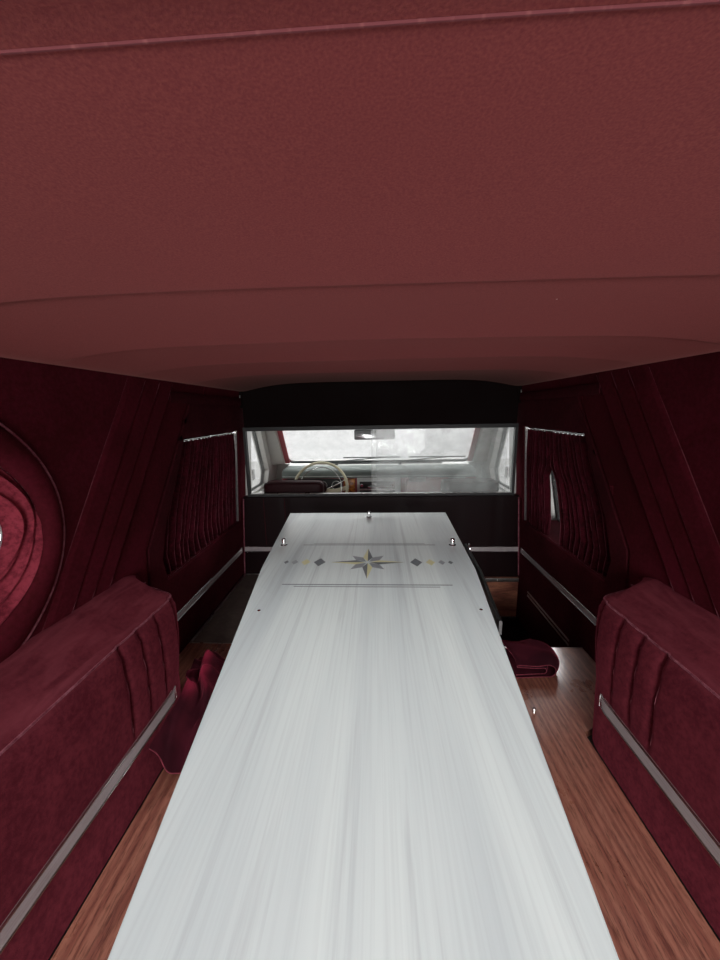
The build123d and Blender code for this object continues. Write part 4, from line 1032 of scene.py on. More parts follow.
# Path of the folded throw in section: inner layer first, then the outer one over it and back underneath
bend = np.linspace(-np.pi / 2, np.pi / 2, 18)
inner_bend = np.column_stack([0.538 + 0.017 * np.cos(bend), 0.034 + 0.015 * np.sin(bend)])
back_bend = np.column_stack([0.438 - 0.004 * np.cos(bend), 0.0545 + 0.0040 * np.sin(bend)])
outer_bend = np.column_stack([0.560 + 0.030 * np.cos(bend), 0.0325 + 0.0290 * np.sin(bend)])[::-1]
section = np.concatenate([[(0.436, 0.016), (0.47, 0.0175), (0.51, 0.019)], inner_bend,
        [(0.51, 0.0500), (0.47, 0.0502)], back_bend, [(0.47, 0.0605), (0.51, 0.0612)], outer_bend,
        [(0.52, 0.0033), (0.47, 0.0033), (0.436, 0.0033)]])
run = np.concatenate([[0], np.cumsum(np.linalg.norm(np.diff(section, axis=0), axis=1))])
even = np.linspace(0, run[-1], 150)
section = np.column_stack([np.interp(even, run, section[:, axis]) for axis in range(2)])
v = np.linspace(0, 1, 70)[None, :]
x, z = section[:, :1] + 0 * v, section[:, 1:] + 0 * v
height = z / 0.0615
sag = 1 - 0.10 * height * np.sin(np.pi * np.clip((x - 0.44) / 0.12, 0, 1)) - 0.22 * np.abs(2 * v - 1) ** 3
x = x + 0.005 * np.sin(5 * v + 30 * x) * height - 0.030 * (x - 0.436) / 0.15 * np.abs(2 * v - 0.9) ** 2.5
z = np.maximum(z * sag + 0.0022 * np.sin(9 * v + 44 * x) * height, 0.0025)
y = rear + 1.998 + 0.134 * v + 0.004 * np.sin(26 * x + 3 * v) * (1 - v) + 0.03 * (0.59 - x) * (0.5 - v)
right_top = np.dstack([x, y, deck + z])
left_hems = (left_top[:, 0], left_top[-1], left_top[:, -1])
right_hems = (right_top[:, 0], right_top[:, -1])
for name, node, top, hems in (("throw_left", "cover_cloth_left", left_top, left_hems),
                              ("throw_right", "cover_cloth_right", right_top, right_hems)):
    step_one, step_two = np.gradient(top, axis=0), np.gradient(top, axis=1)
    normal = np.cross(step_one, step_two)
    normal /= np.linalg.norm(normal, axis=2, keepdims=True)
    cloth = slab(name, top + normal * 0.0008, top - normal * 0.0008, throw_velvet, crease=80)
    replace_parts(cloth, node)
    edges = [carried(f"{name}_hem_{number}", line + np.array([0, 0, 0.0006]), circle(0.0013, 6), hem_velvet)
             for number, line in enumerate(hems)]


# Cab: bench seat and headrests in dark maroon cloth and vinyl, over sprung foam
# Seen past the partition's panes; sewn channels run down the seat, and piping closes the headrests
seat_cloth = velvet("seat_velour", "#2a0a10", "#40141c", brushed=13.0, sheen=0.5, tint="#a85866",
        slot="seat_cloth")
seat_vinyl = dark_vinyl("seat_vinyl", "#1d0a0c", "#2c1014", rough=0.45, slot="seat_cloth")


def squarish(value, square):
    """Sine or cosine raised to a power with its sign kept: below 1 a circle of them nears a square."""
    return np.sign(value) * np.abs(value) ** square


def cushion(name, low, high, finish, square=0.30, lean=0.0, channels=0, depth=0.010, rows=40, cols=96, **kw):
    """Stuffed box: a rounded block with faces crowned between its edges and sewn channels across its width."""
    low, high = np.array(low, float), np.array(high, float)
    middle, half = (low + high) / 2, (high - low) / 2
    polar = np.linspace(-np.pi / 2, np.pi / 2, rows)[:, None]
    turn = np.linspace(0, 2 * np.pi, cols, endpoint=False)[None, :]
    level = squarish(np.cos(polar), square)
    x, y = level * squarish(np.cos(turn), square), level * squarish(np.sin(turn), square)
    z = squarish(np.sin(polar), square) + 0 * turn
    shrink = 1.0
    if channels:
        groove = np.abs(np.sin(np.pi * channels * (x + 1) / 2))
        shrink = 1 - depth / half[[1, 2]].min() * (1 - np.clip(groove * 3.0, 0,
                1) ** 0.5) * (np.abs(x) < 0.97)
    y = y * shrink
    z = z * np.where(z > 0, shrink, 1.0)
    points = middle + half * np.dstack([x, y, z]) + np.array([0, lean * half[2], 0]) * z[..., None]
    return piece_of(name, points, grid_faces(rows, cols, wrap_cols=True), finish, crease=70, **kw)


seat_low, seat_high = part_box("front_seat")
back_y = partition_y + 0.045 + 0.008
cushions = [cushion("seat_cushion", (seat_low.x, back_y + 0.122, seat_low.z + 0.10),
        (seat_high.x, back_y + 0.618, seat_low.z + 0.300), seat_cloth, square=0.22, channels=14),
            cushion("seat_back", (seat_low.x, back_y + 0.048, seat_low.z + 0.18),
        (seat_high.x, back_y + 0.158, seat_high.z), seat_cloth, square=0.26, lean=-0.045 / 0.24, channels=14)]
base = cushion("seat_base", (seat_low.x + 0.03, back_y + 0.13, seat_low.z + 0.001),
               (seat_high.x - 0.03, back_y + 0.60, seat_low.z + 0.125), seat_vinyl, square=0.12)
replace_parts(cushions[0], "front_seat")
rest_low, rest_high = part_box("headrests")
for number, (middle, half) in enumerate(((-0.460, 0.160), (0.486, 0.145))):
    low = (middle - half, rest_low.y, rest_low.z)
    high = (middle + half, rest_high.y, rest_high.z)
    rest = cushion(f"headrest_{number}", low, high, seat_vinyl, square=0.30)
    cushions.append(rest)
    if number == 0:
        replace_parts(rest, "headrests")
    turn = np.linspace(0, 2 * np.pi, 80, endpoint=False)
    reach_x, reach_z = half * squarish(np.cos(turn), 0.30), (high[2] - low[2]) / 2 * squarish(np.sin(turn),
            0.30)
    for part, share in (("rear", -0.55), ("front", 0.62)):
        scale = (1 - abs(share) ** (2 / 0.30)) ** (0.30 / 2)
        piping_y = (low[1] + high[1]) / 2 + share * 0.05
        path = np.column_stack([middle + reach_x * scale, np.full(80, piping_y),
                (low[2] + high[2]) / 2 + reach_z * scale])
        carried(f"headrest_piping_{number}_{part}", path, circle(0.0022, 6), seat_vinyl, up=(0, 1, 0),
                loop=True)

# Dash: padded top over a vinyl fascia, with the driver's dials, a wood-faced part and the radio in its middle
# Padded dash vinyl: fine grain, faded to a grey green by the sun
dash_pad, tree, skin, place = new_finish("dash_top_vinyl", 0.45, slot="dash_vinyl")
grainy = add(tree, "TexVoronoi", {"Vector": place, "Scale": 420.0}).outputs["Distance"]
fade = add(tree, "TexNoise", {"Vector": place, "Scale": 4.0, "Detail": 3.0}).outputs[0]
tint(tree, skin, fade, "#4b5450", "#6d7571")
relief(tree, skin, grainy, 0.0004, 0.5)
fascia_vinyl = dark_vinyl("fascia_vinyl", "#8a4248", "#a25a5e", rough=0.5, slot="dash_vinyl")
# Satin plated trim: an even grey with faint drawn lines
satin_grey, tree, skin, place = new_finish("satin_grey", 0.35, metal=0.6, slot="dash_vinyl")
uneven = add(tree, "TexNoise", {"Vector": stretch(tree, place, (40, 40, 400)), "Scale": 1.0}).outputs[0]
tint(tree, skin, uneven, "#9fa3a2", "#bfc2c0")
amber_wood = wood("amber_wood", "#7a3f14", "#c8812e", 0.3, 0.6, along=(3.0, 20.0, 20.0), slot="dash_vinyl")
# Ivory plastic of the wheel: glossy, yellowed where it is held
ivory, tree, skin, place = new_finish("wheel_ivory", 0.32, slot="wheel_ivory", Coat_Weight=0.3)
handled = add(tree, "TexNoise", {"Vector": place, "Scale": 16.0, "Detail": 4.0}).outputs[0]
tint(tree, skin, handled, "#cfc9a8", "#e6e2c6")

dash_low, dash_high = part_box("dash")
dash_corners = ((0.0, -0.255), (-0.257, -0.275), (-0.287, -0.165), (-0.274, -0.040), (-0.235, 0.0),
                (-0.06, 0.004), (0.0, -0.004))


def eased(corners, radius, most=0.45, steps=8):
    """Closed outline of corners, each rounded by a curve within a radius and a share of its sides."""
    corners = np.array(corners, float)
    curves = []
    for before, corner, after in zip(np.roll(corners, 1, 0), corners, np.roll(corners, -1, 0)):
        first, last = [corner + (other - corner) * min(radius / np.linalg.norm(other - corner), most)
                       for other in (before, after)]
        t = np.linspace(0, 1, steps)[:, None]
        curves.append((1 - t) ** 2 * first + 2 * t * (1 - t) * corner + t ** 2 * last)
    return np.concatenate(curves)


section = eased(dash_corners, 9.0, most=0.28, steps=7)
dash_y, dash_z = dash_high.y, dash_high.z - 0.006
stations = [(dash_low.x, dash_low.x + 0.03, 6), (dash_low.x + 0.04, dash_high.x - 0.04, 40),
            (dash_high.x - 0.03, dash_high.x, 6)]
stations = np.concatenate([np.linspace(*station) for station in stations])
end_round = np.clip(np.minimum(stations - dash_low.x, dash_high.x - stations) / 0.03, 0, 1)
shrink = (0.90 + 0.10 * np.sqrt(1 - (1 - end_round) ** 2))[:, None]
centre = section.mean(0)
shrunk = centre + (section - centre) * shrink[..., None]
points = np.dstack([stations[:, None] + 0 * section[:, 0], dash_y + shrunk[..., 0], dash_z + shrunk[..., 1]])
points = np.concatenate([np.broadcast_to(points[:1].mean(1, keepdims=True), points[:1].shape), points,
        np.broadcast_to(points[-1:].mean(1, keepdims=True), points[:1].shape)])
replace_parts(piece_of("dash_body", points, grid_faces(*points.shape[:2], wrap_cols=True), fascia_vinyl),
            "dash")
pad = np.array([(-0.292, -0.052), (-0.288, -0.018), (-0.255, 0.004), (-0.06, 0.008), (0.0, -0.001),
                (-0.02, -0.006), (-0.25, -0.006), (-0.276, -0.030)])
pad_x = np.linspace(dash_low.x + 0.004, dash_high.x - 0.004, 60)[:, None]
capped("dash_top_pad", np.dstack([pad_x + 0 * pad[:, 0], dash_y + pad[:, 0] + 0 * pad_x,
        dash_z + pad[:, 1] + 0 * pad_x]), dash_pad)
rim_path = line_x(dash_low.x + 0.004, dash_high.x - 0.004, dash_y - 0.2925, dash_z - 0.040, 60)
carried("dash_rim", rim_path, circle(0.0035, 8), satin_grey)


def plate(name, low, high, finish, radius=0.006, **kw):
    """Thin plate that faces the seat, with rounded corners and an eased edge."""
    wide, tall = high[0] - low[0], high[2] - low[2]
    outline = rounded(wide, tall, radius, 6)
    inner = rounded(wide - 0.002, tall - 0.002, radius, 6)
    x, z = (low[0] + high[0]) / 2, (low[2] + high[2]) / 2
    layers = [np.column_stack([x + ring[:, 0], np.full(len(ring), y), z + ring[:, 1]])
              for ring, y in ((outline, high[1]), (outline, low[1] + 0.001), (inner, low[1]))]
    return capped(name, np.stack(layers), finish, **kw)


face_y = dash_y - 0.293
for name, left, right, low, high, proud, deep, finish, radius in (
        ("instrument_panel", -0.665, -0.255, -0.150, -0.058, 0.004, 0.020, rubber, 0.006),
        ("wood_panel", -0.245, -0.165, -0.155, -0.058, 0.004, 0.020, amber_wood, 0.006),
        ("radio_surround", -0.150, 0.162, -0.215, -0.050, 0.012, 0.020, satin_grey, 0.006),
        ("radio_face", -0.132, 0.120, -0.128, -0.076, 0.015, 0.0, rubber, 0.003),
        ("heater_face", -0.132, 0.120, -0.200, -0.140, 0.015, 0.0, rubber, 0.003),
        ("glovebox_door", 0.200, 0.640, -0.215, -0.070, 0.002, 0.030, fascia_vinyl, 0.012)):
    plate(name, (left, face_y - proud, dash_z + low), (right, face_y + deep, dash_z + high), finish,
          radius=radius, slot="dash_vinyl")
dial_shape = [(0, 0), (0, 0.034), (0.004, 0.034), (0.0046, 0.031), (0.0026, 0.029), (0.0024, 0.0)]
for number, x in enumerate((-0.60, -0.50, -0.40, -0.30)):
    turned(f"dial_{number}", (x, face_y - 0.004, dash_z - 0.104), (0, -1, 0), dial_shape, satin_grey,
           sides=28)
    turned(f"dial_glass_{number}", (x, face_y - 0.0066, dash_z - 0.104), (0, -1, 0),
           [(0, 0), (0, 0.0285), (0.0006, 0.028), (0.0008, 0)], rubber, sides=28, slot="dash_vinyl")
knob_shape = [(0, 0), (0, 0.012), (0.010, 0.011), (0.013, 0.009), (0.0135, 0.0)]
knob_places = ((-0.115, -0.102), (0.103, -0.102), (-0.100, -0.170), (-0.03, -0.170), (0.04, -0.170),
               (0.10, -0.170))
for number, (x, z) in enumerate(knob_places):
    turned(f"radio_knob_{number}", (x, face_y - 0.015, dash_z + z), (0, -1, 0), knob_shape, chrome, sides=18)
for number in range(5):
    x = -0.075 + 0.036 * number
    plate(f"radio_key_{number}", (x, face_y - 0.022, dash_z - 0.122),
          (x + 0.028, face_y - 0.012, dash_z - 0.112), chrome, radius=0.002)
for number, x in enumerate((0.22, 0.50)):
    for slat in range(4):
        z = dash_z - 0.054 - 0.008 * slat
        plate(f"vent_slat_{number}_{slat}", (x, face_y - 0.006, z - 0.004), (x + 0.12, face_y + 0.01, z),
              satin_grey, radius=0.0015)

# Steering wheel: thin ivory rim on two spokes and a padded hub, with its stalk and shrouded column
wheel_low, wheel_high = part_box("steering_wheel")
rake = math.radians(27)
hub = np.array([-0.398, (wheel_low.y + wheel_high.y) / 2, (wheel_low.z + wheel_high.z) / 2])
away = np.array([0, math.cos(rake), -math.sin(rake)])
rise = np.array([0, math.sin(rake), math.cos(rake)])
turn = np.linspace(0, 2 * np.pi, 120, endpoint=False)[:, None]
rim_path = hub + 0.185 * (np.cos(turn) * np.array([1.0, 0, 0]) + np.sin(turn) * rise)
wheel_rim = carried("wheel_rim", rim_path, circle(0.0095, 12), ivory, up=away, loop=True,
        body="steering_wheel")
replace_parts(wheel_rim, "steering_wheel")
carried("wheel_ring", hub + away * -0.002 + (rim_path - hub) * 0.80, circle(0.0028, 8), chrome, up=away,
        loop=True, body="steering_wheel")
reach = np.linspace(0.03, 0.180, 14)
spoke_bend = np.outer(0.026 * (1 - reach / 0.18), away) + np.outer(-0.018 * np.sin(reach / 0.18 * np.pi),
        rise)
for side in (-1, 1):
    spoke = hub + np.outer(reach * side, [1.0, 0, 0]) + spoke_bend
    carried(f"wheel_spoke_{'l' if side < 0 else 'r'}", spoke, rounded(0.007, 0.030, 0.003), ivory, up=rise,
            body="steering_wheel")
hub_shape = [(0, 0), (0, 0.038), (0.024, 0.042), (0.040, 0.036), (0.046, 0.022), (0.048, 0)]
turned("wheel_hub", hub + away * 0.040, -away, hub_shape, seat_vinyl, sides=32, body="steering_wheel",
       slot="dash_vinyl")
stalk = np.array([(0.03, 0.01), (0.08, 0.03), (0.13, 0.055), (0.16, 0.075)])
stalk = hub + away * 0.07 + np.outer(stalk[:, 0], [1.0, 0, 0]) + np.outer(stalk[:, 1], rise)
carried("gear_stalk", stalk, circle(0.0045, 10), chrome, up=away)
tip_run = stalk[-1] - stalk[-2]
knob_outline = [(0, 0), (0, 0.006), (0.006, 0.010), (0.016, 0.011), (0.026, 0.007), (0.028, 0)]
turned("gear_knob", stalk[-1] - tip_run * 0.1, tip_run, knob_outline, ivory)
dress(seat_vinyl, "steering_column")

# Cab mirror: dark plastic shell with its glass towards the seats
mirror_low, mirror_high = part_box("cab_mirror")
# Moulded black plastic: fine grain that breaks up its shine
shell_plastic, tree, skin, place = new_finish("mirror_shell", 0.4)
speckle = add(tree, "TexNoise", {"Vector": place, "Scale": 300.0, "Detail": 2.0}).outputs[0]
tint(tree, skin, speckle, "#232325", "#333335")
relief(tree, skin, speckle, 0.0003, 0.4)
dress(shell_plastic, "cab_mirror")
# Silvered glass, a little clouded, so it reflects softly
mirror_glass, tree, skin, place = new_finish("mirror_glass", 0.12, metal=0.6, slot="glass")
clouded = add(tree, "TexNoise", {"Vector": place, "Scale": 14.0, "Detail": 3.0}).outputs[0]
tint(tree, skin, clouded, "#c4c8ca", "#dfe2e3")
plate("cab_mirror_glass", (-0.142, mirror_low.y - 0.0012, mirror_low.z + 0.005),
      (0.102, mirror_low.y + 0.0005, mirror_low.z + 0.057), mirror_glass, radius=0.008)

# Windscreen pillars, inside: moulded covers in the same red as the dash
screen_foot_y, screen_foot_z = rear + 3.780, 0.88
screen_back, screen_rise = 0.48, 0.52               # the screen slopes back by the first over the second


def screen_y(z):
    """How far forward the windscreen stands at a height."""
    return screen_foot_y - screen_back * (z - screen_foot_z) / screen_rise


for side, turn in both_sides:
    share = np.linspace(0.03, 0.97, 24)
    z = screen_foot_z + (1.365 - screen_foot_z) * share
    path = np.column_stack([wall_x(z) + 0.004, screen_y(z) - 0.034, z])
    carried("pillar_cover_" + side, path, rounded(0.020, 0.052, 0.008), fascia_vinyl, up=(1, 0, 0), turn=turn)


# Painted body: white enamel with a clear coat on roof, sides, doors and rear frame
# Black coating lies under the floor and in the wheel arches, and the oval openings are lined
# White enamel under clear lacquer: orange peel, with road dust towards the sills
paint_white, tree, skin, place = new_finish("paint_white", 0.34, Coat_Weight=1.0, Coat_Roughness=0.05)
where = add(tree, "NewGeometry").outputs["Position"]
dust = add(tree, "TexNoise", {"Vector": where, "Scale": 3.2, "Detail": 6.0, "Roughness": 0.62}).outputs[0]
height = add(tree, "SeparateXYZ", {0: where}).outputs[2]
low_down = add(tree, "MapRange", {0: height, 1: 0.0, 2: 0.42, 3: 1.0, 4: 0.12}).outputs[0]
film = add(tree, "MapRange", {0: dust, 1: 0.38, 2: 0.68}).outputs[0]
film = add(tree, "Math", {0: film, 1: low_down}, operation="MULTIPLY").outputs[0]
tint(tree, skin, film, "#cfcfcb", "#a39d91")
tree.links.new(add(tree, "MapRange", {0: film, 3: 0.05, 4: 0.32}).outputs[0], skin.inputs["Coat Roughness"])
peel = add(tree, "TexNoise", {"Vector": where, "Scale": 320.0, "Detail": 1.0}).outputs[0]   # orange peel 3 mm
relief(tree, skin, peel, 0.0002, 0.12)
# Sprayed bitumen: lumpy, matt black with dried mud
under_coat, tree, skin, place = new_finish("underbody_black", 0.85)
blobs = add(tree, "TexNoise", {"Vector": place, "Scale": 85.0, "Detail": 5.0, "Roughness": 0.65}).outputs[0]
mud = add(tree, "TexNoise", {"Vector": place, "Scale": 6.0, "Detail": 6.0}).outputs[0]
mud_share = add(tree, "MapRange", {0: mud, 1: 0.5, 2: 0.7}).outputs[0]
tint(tree, skin, mud_share, "#151516", "#232120")
relief(tree, skin, blobs, 0.0022, 0.7)
well_carpet = velvet("well_carpet", "#130809", "#241013", brushed=18.0, sheen=0.2, tint="#805058")
# Red acrylic lenses, moulded with fine flutes: deep red with bright lines
lens_red, tree, skin, place = new_finish("lens_red", 0.12, slot="glass", Coat_Weight=1.0,
        Transmission_Weight=0.15)
flute = add(tree, "TexWave", {"Vector": stretch(tree, place, (1, 0, 90)), "Scale": 1.0},
            bands_direction="Z").outputs["Fac"]
tint(tree, skin, flute, "#8c0d10", "#c02320")
relief(tree, skin, flute, 0.0010, 0.5)


def coat(name, finish, test):
    """Second finish on those faces of a CAD node whose centres and normals pass a test."""
    mesh = nodes[name].data
    mesh.materials.append(finish)
    centre, normal = np.empty(3 * len(mesh.polygons)), np.empty(3 * len(mesh.polygons))
    mesh.polygons.foreach_get("center", centre)
    mesh.polygons.foreach_get("normal", normal)
    passed = test(centre.reshape(-1, 3), normal.reshape(-1, 3))
    index = np.zeros(len(mesh.polygons), dtype=np.int32)
    mesh.polygons.foreach_get("material_index", index)
    index[passed] = len(mesh.materials) - 1
    mesh.polygons.foreach_set("material_index", index)


arch_y, arch_z, arch_radius = rear + 1.350, 0.120, 0.400


def in_arch(centre, normal):
    """Faces of a wheel arch's cut."""
    reach = np.hypot(centre[:, 1] - arch_y, centre[:, 2] - arch_z)
    return (reach < arch_radius + 0.004) & (np.abs(normal[:, 0]) < 0.5)


def in_oval(centre, normal):
    """Faces of an oval opening's cut."""
    share = ((centre[:, 1] - oval_y) / opening_long) ** 2 + ((centre[:, 2] - oval_z) / opening_high) ** 2
    return (np.abs(share - 1) < 0.06) & (np.abs(normal[:, 0]) < 0.6)


def cab_floor(centre, normal):
    """Upward faces of the floor pan under the cab and the entry well."""
    return (normal[:, 2] > 0.9) & (centre[:, 2] < 0.17) & (centre[:, 1] > rear + 2.1)


dress(paint_white, "roof_panel", "body_side_right", "body_side_left", "side_door_right", "side_door_left",
      "front_door_right", "front_door_left", "rear_frame", "rear_door", "cowl")
dress(under_coat, "floor_pan")
for side in ("right", "left"):
    coat("body_side_" + side, under_coat, in_arch)
    coat("body_side_" + side, wall_velvet, in_oval)
coat("floor_pan", well_carpet, cab_floor)
window_corners = np.array([(2.730, 0.307), (2.730, 0.775), (2.215, 0.775), (2.170, 0.677), (2.075, 0.504),
        (2.042, 0.387), (2.065, 0.307)]) + np.array([rear, deck])


def in_window(centre, normal):
    """Faces of a side door's window cut."""
    runs = np.roll(window_corners, -1, 0) - window_corners
    gap = centre[:, None, 1:] - window_corners
    share = np.clip((gap * runs).sum(2) / (runs ** 2).sum(1), 0, 1)
    distance = np.linalg.norm(gap - share[..., None] * runs, axis=2).min(1)
    return (distance < 0.004) & (np.abs(normal[:, 0]) < 0.5)


for side in ("right", "left"):
    coat("side_door_" + side, door_velvet, in_window)
    coat("side_door_" + side, bright, lambda centre, normal: in_window(centre,
            normal) & (centre[:, 1] > rear + 2.72))
dress(glass, "oval_glass")
dress(chrome, "door_mirror_right", "door_mirror_left", "rear_door_handle")


def outer_x(z):
    """Half width over the painted sides at a height."""
    return np.interp(z, [0.0, 0.150, 0.640, 1.400], [0.890, 0.930, 0.930, 0.790])


def on_side(outline, proud):
    """Outline of (forward of the rear opening, up) points laid on the right outer side."""
    return np.column_stack([outer_x(outline[:, 1]) + proud, rear + outline[:, 0], outline[:, 1]])


# Window surrounds: a rubber gasket in each opening with a bright frame over its edge
side_window = [(2.750 - back, window_sill + share * window_high) for back,
               share in ((0.020, 0), (0.020, 1), (0.535, 1), (0.580, 0.79), (0.675, 0.42), (0.708, 0.17),
        (0.685, 0))]
front_window = [(3.010, 0.745), (3.010, 1.265), (3.215, 1.265), (3.640, 0.850), (3.640, 0.745)]
frame_profile = rounded(0.016, 0.012, 0.004)
gasket_profile = rounded(0.009, 0.020, 0.003)
oval_gasket_profile = rounded(0.011, 0.022, 0.003)
side_up = (1, 0, 0.18)
angle = np.linspace(0, 2 * np.pi, 120, endpoint=False)
for side, turn in both_sides:
    for door, corners in (("side_door", side_window), ("front_door", front_window)):
        outline = eased(corners, 0.030)
        reach = outline - outline.mean(0)
        unit = reach / np.linalg.norm(reach, axis=1, keepdims=True)
        body = f"{door}_{side}"
        carried(f"{door}_window_frame_{side}", on_side(outline + 0.010 * unit, 0.003), frame_profile, bright,
                up=side_up, loop=True, turn=turn, body=body)
        carried(f"{door}_window_gasket_{side}", on_side(outline - 0.004 * unit, -0.014), gasket_profile,
                rubber, up=side_up, loop=True, turn=turn, body=body)
    for name, grow, proud, profile, finish in (("oval_frame_", 0.008, 0.003, frame_profile, bright),
                                               ("oval_gasket_", -0.006, -0.014, oval_gasket_profile, rubber)):
        outline = np.column_stack([oval_y - rear + (opening_long + grow) * np.cos(angle),
                oval_z + (opening_high + grow) * np.sin(angle)])
        carried(name + side, on_side(outline, proud), profile, finish, up=side_up, loop=True, turn=turn)

# Bright mouldings outside: belt and sill strips, arch lips, drip rails and the reveal round the windscreen
belt_height = 0.622
belt_profile = np.array([(-0.011, 0.0), (-0.011, 0.003), (-0.007, 0.0062), (0.0, 0.0072), (0.007, 0.0062),
        (0.011, 0.003), (0.011, 0.0)])
gutter = np.array([(-0.004, -0.009), (-0.004, 0.003), (0.004, 0.003), (0.0045, -0.004), (0.011, -0.004),
        (0.0115, 0.003), (0.0135, 0.003), (0.013, -0.0075)])
lean = math.atan2(0.040, 0.150)                     # the skirts lean in below the sides
skirt = ribbed(0.110, 0.008, 7) * np.array([-1, 1])
skirt = skirt @ np.array([[math.cos(lean), -math.sin(lean)], [math.sin(lean), math.cos(lean)]])
arch_angle = np.linspace(math.radians(-12), math.radians(192), 80)
arch_line = np.column_stack([arch_y - rear + (arch_radius - 0.002) * np.cos(arch_angle),
        arch_z + (arch_radius - 0.002) * np.sin(arch_angle)])
for side, turn in both_sides:
    runs = (("rear", 0.006, 1.838, "body"), ("side_door", 1.874, 2.792, "side_door_" + side),
            ("pillar", 2.838, 2.874, "body"), ("front_door", 2.896, 3.856, "front_door_" + side),
            ("front", 3.902, 4.124, "body"))
    for name, start, end, body in runs:
        path = line_y(0.9298, rear + start, rear + end, belt_height)
        carried(f"belt_{name}_{side}", path, belt_profile, bright, up=(1, 0, 0), turn=turn, body=body)
    for name, start, end in (("rear", 0.006, 0.948), ("front", 1.752, 4.124)):
        path = line_y(float(outer_x(0.080)) - 0.0005, rear + start, rear + end, 0.080, 16)
        carried(f"sill_strip_{name}_{side}", path, skirt, bright, turn=turn)
    carried("arch_lip_" + side, on_side(arch_line, 0.002), rounded(0.014, 0.009, 0.003), bright, up=(1, 0, 0),
            turn=turn)
    carried("drip_rail_" + side, line_y(0.7935, rear + 0.004, rear + 3.285, 1.3985, 40), gutter, bright,
            turn=turn)
screen_up = np.array([0, screen_rise, screen_back]) / math.hypot(screen_rise, screen_back)
low_z, high_z = screen_foot_z + screen_rise * 0.018, screen_foot_z + screen_rise * 0.925
outline = eased([(sign * (float(wall_x(z)) + 0.002), z) for sign, z in ((-1, low_z), (-1, high_z),
        (1, high_z), (1, low_z))], 0.060)
path = np.column_stack([outline[:, 0], screen_y(outline[:, 1]), outline[:, 1]])
carried("screen_gasket", path + screen_up * 0.001, rounded(0.020, 0.014, 0.004), rubber, up=screen_up,
        loop=True)
carried("screen_reveal", path + screen_up * 0.008, rounded(0.008, 0.005, 0.002), bright, up=screen_up,
        loop=True)


# Door furniture outside: pull handles with push buttons, mirror glasses and the rear door's frame and lock
def pull_handle(name, place_d, z, body, turn):
    """Chromed pull: a bowed grip on two feet, its push button at the front end."""
    x = float(outer_x(z))
    rise = np.array([0.002, 0.020, 0.030, 0.034, 0.035, 0.034, 0.030, 0.020, 0.002])
    run = np.array([0.0, 0.004, 0.018, 0.045, 0.085, 0.125, 0.152, 0.166, 0.170])
    t, knots = np.linspace(0, 1, 40), np.linspace(0, 1, 9)
    grip = np.column_stack([np.interp(t, knots, x + rise), np.interp(t, knots, rear + place_d + run),
            np.full(40, z)])
    carried(name, grip, rounded(0.016, 0.011, 0.004), chrome, turn=turn, body=body)
    for end, foot in (("a", -0.006), ("b", 0.176)):
        path = np.array([[x + reach, rear + place_d + foot, z] for reach in (-0.001, 0.002, 0.004)])
        carried(f"{name}_foot_{end}", path, circle(0.013, 20), chrome, up=(0, 0, 1), turn=turn, body=body)
    path = np.array([[x + reach, rear + place_d + 0.176, z] for reach in (0.003, 0.010, 0.014)])
    carried(name + "_button", path, circle(0.008, 20), chrome, up=(0, 0, 1), turn=turn, body=body)


for side, turn in both_sides:
    pull_handle("side_door_pull_" + side, 1.925, 0.560, "side_door_" + side, turn)
    pull_handle("front_door_pull_" + side, 2.955, 0.560, "front_door_" + side, turn)
    near, far = (0.985, 1.085) if side == "right" else (-1.085, -0.985)
    glass_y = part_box("door_mirror_" + side)[0].y
    plate("door_mirror_glass_" + side, (near, glass_y - 0.0012, 0.772), (far, glass_y + 0.0005, 0.844),
          mirror_glass, radius=0.010, body="front_door_" + side)

rear_low, rear_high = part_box("rear_door")
door_face = -0.604                                  # outer face of the open rear door
pane_low, pane_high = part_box("rear_door_glass")
middle = ((pane_low.y + pane_high.y) / 2, (pane_low.z + pane_high.z) / 2)
for name, grow, out, profile, finish in (("frame", 0.009, -0.003, frame_profile, bright),
                                         ("gasket", 0.004, 0.010, gasket_profile, rubber)):
    half_y, half_z = (pane_high.y - pane_low.y) / 2 + grow, (pane_high.z - pane_low.z) / 2 + grow
    outline = eased([(middle[0] + y * half_y, middle[1] + z * half_z)
                     for y, z in ((-1, -1), (1, -1), (1, 1), (-1, 1))], 0.040)
    path = np.column_stack([np.full(len(outline), door_face + out), outline])
    carried("rear_window_" + name, path, profile, finish, up=(1, 0, 0), loop=True, body="rear_door")
path = line_y(door_face + 0.0002, rear_low.y + 0.012, rear_high.y - 0.020, belt_height)
carried("rear_belt", path, belt_profile * np.array([1, -1]), bright, up=(1, 0, 0), body="rear_door")
faced("rear_door_cover", "rear_door_trim", (1, 0, 0), wall_velvet, edge=0.006, step=0.03, body="rear_door")
pull_out, pull_along = (0.0, 0.022, 0.030, 0.030, 0.022, 0.0), (0.0, 0.01, 0.05, 0.13, 0.17, 0.18)
t = np.linspace(0, 5, 30)
path = np.column_stack([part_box("rear_door_trim")[1].x - 0.002 + np.interp(t, range(6), pull_out),
        rear_low.y + 0.10 + np.interp(t, range(6), pull_along), np.full(30, 0.70)])
carried("rear_door_grip", path, rounded(0.018, 0.010, 0.004), chrome, body="rear_door")
lock_shape = [(0, 0), (0, 0.020), (0.0010, 0.019), (0.0014, 0.010), (0.0028, 0.009), (0.0034, 0.0)]
turned("rear_lock_plate", (door_face + 0.030, rear_low.y + 0.0005, 0.62), (0, -1, 0), lock_shape, chrome,
       sides=24, body="rear_door")

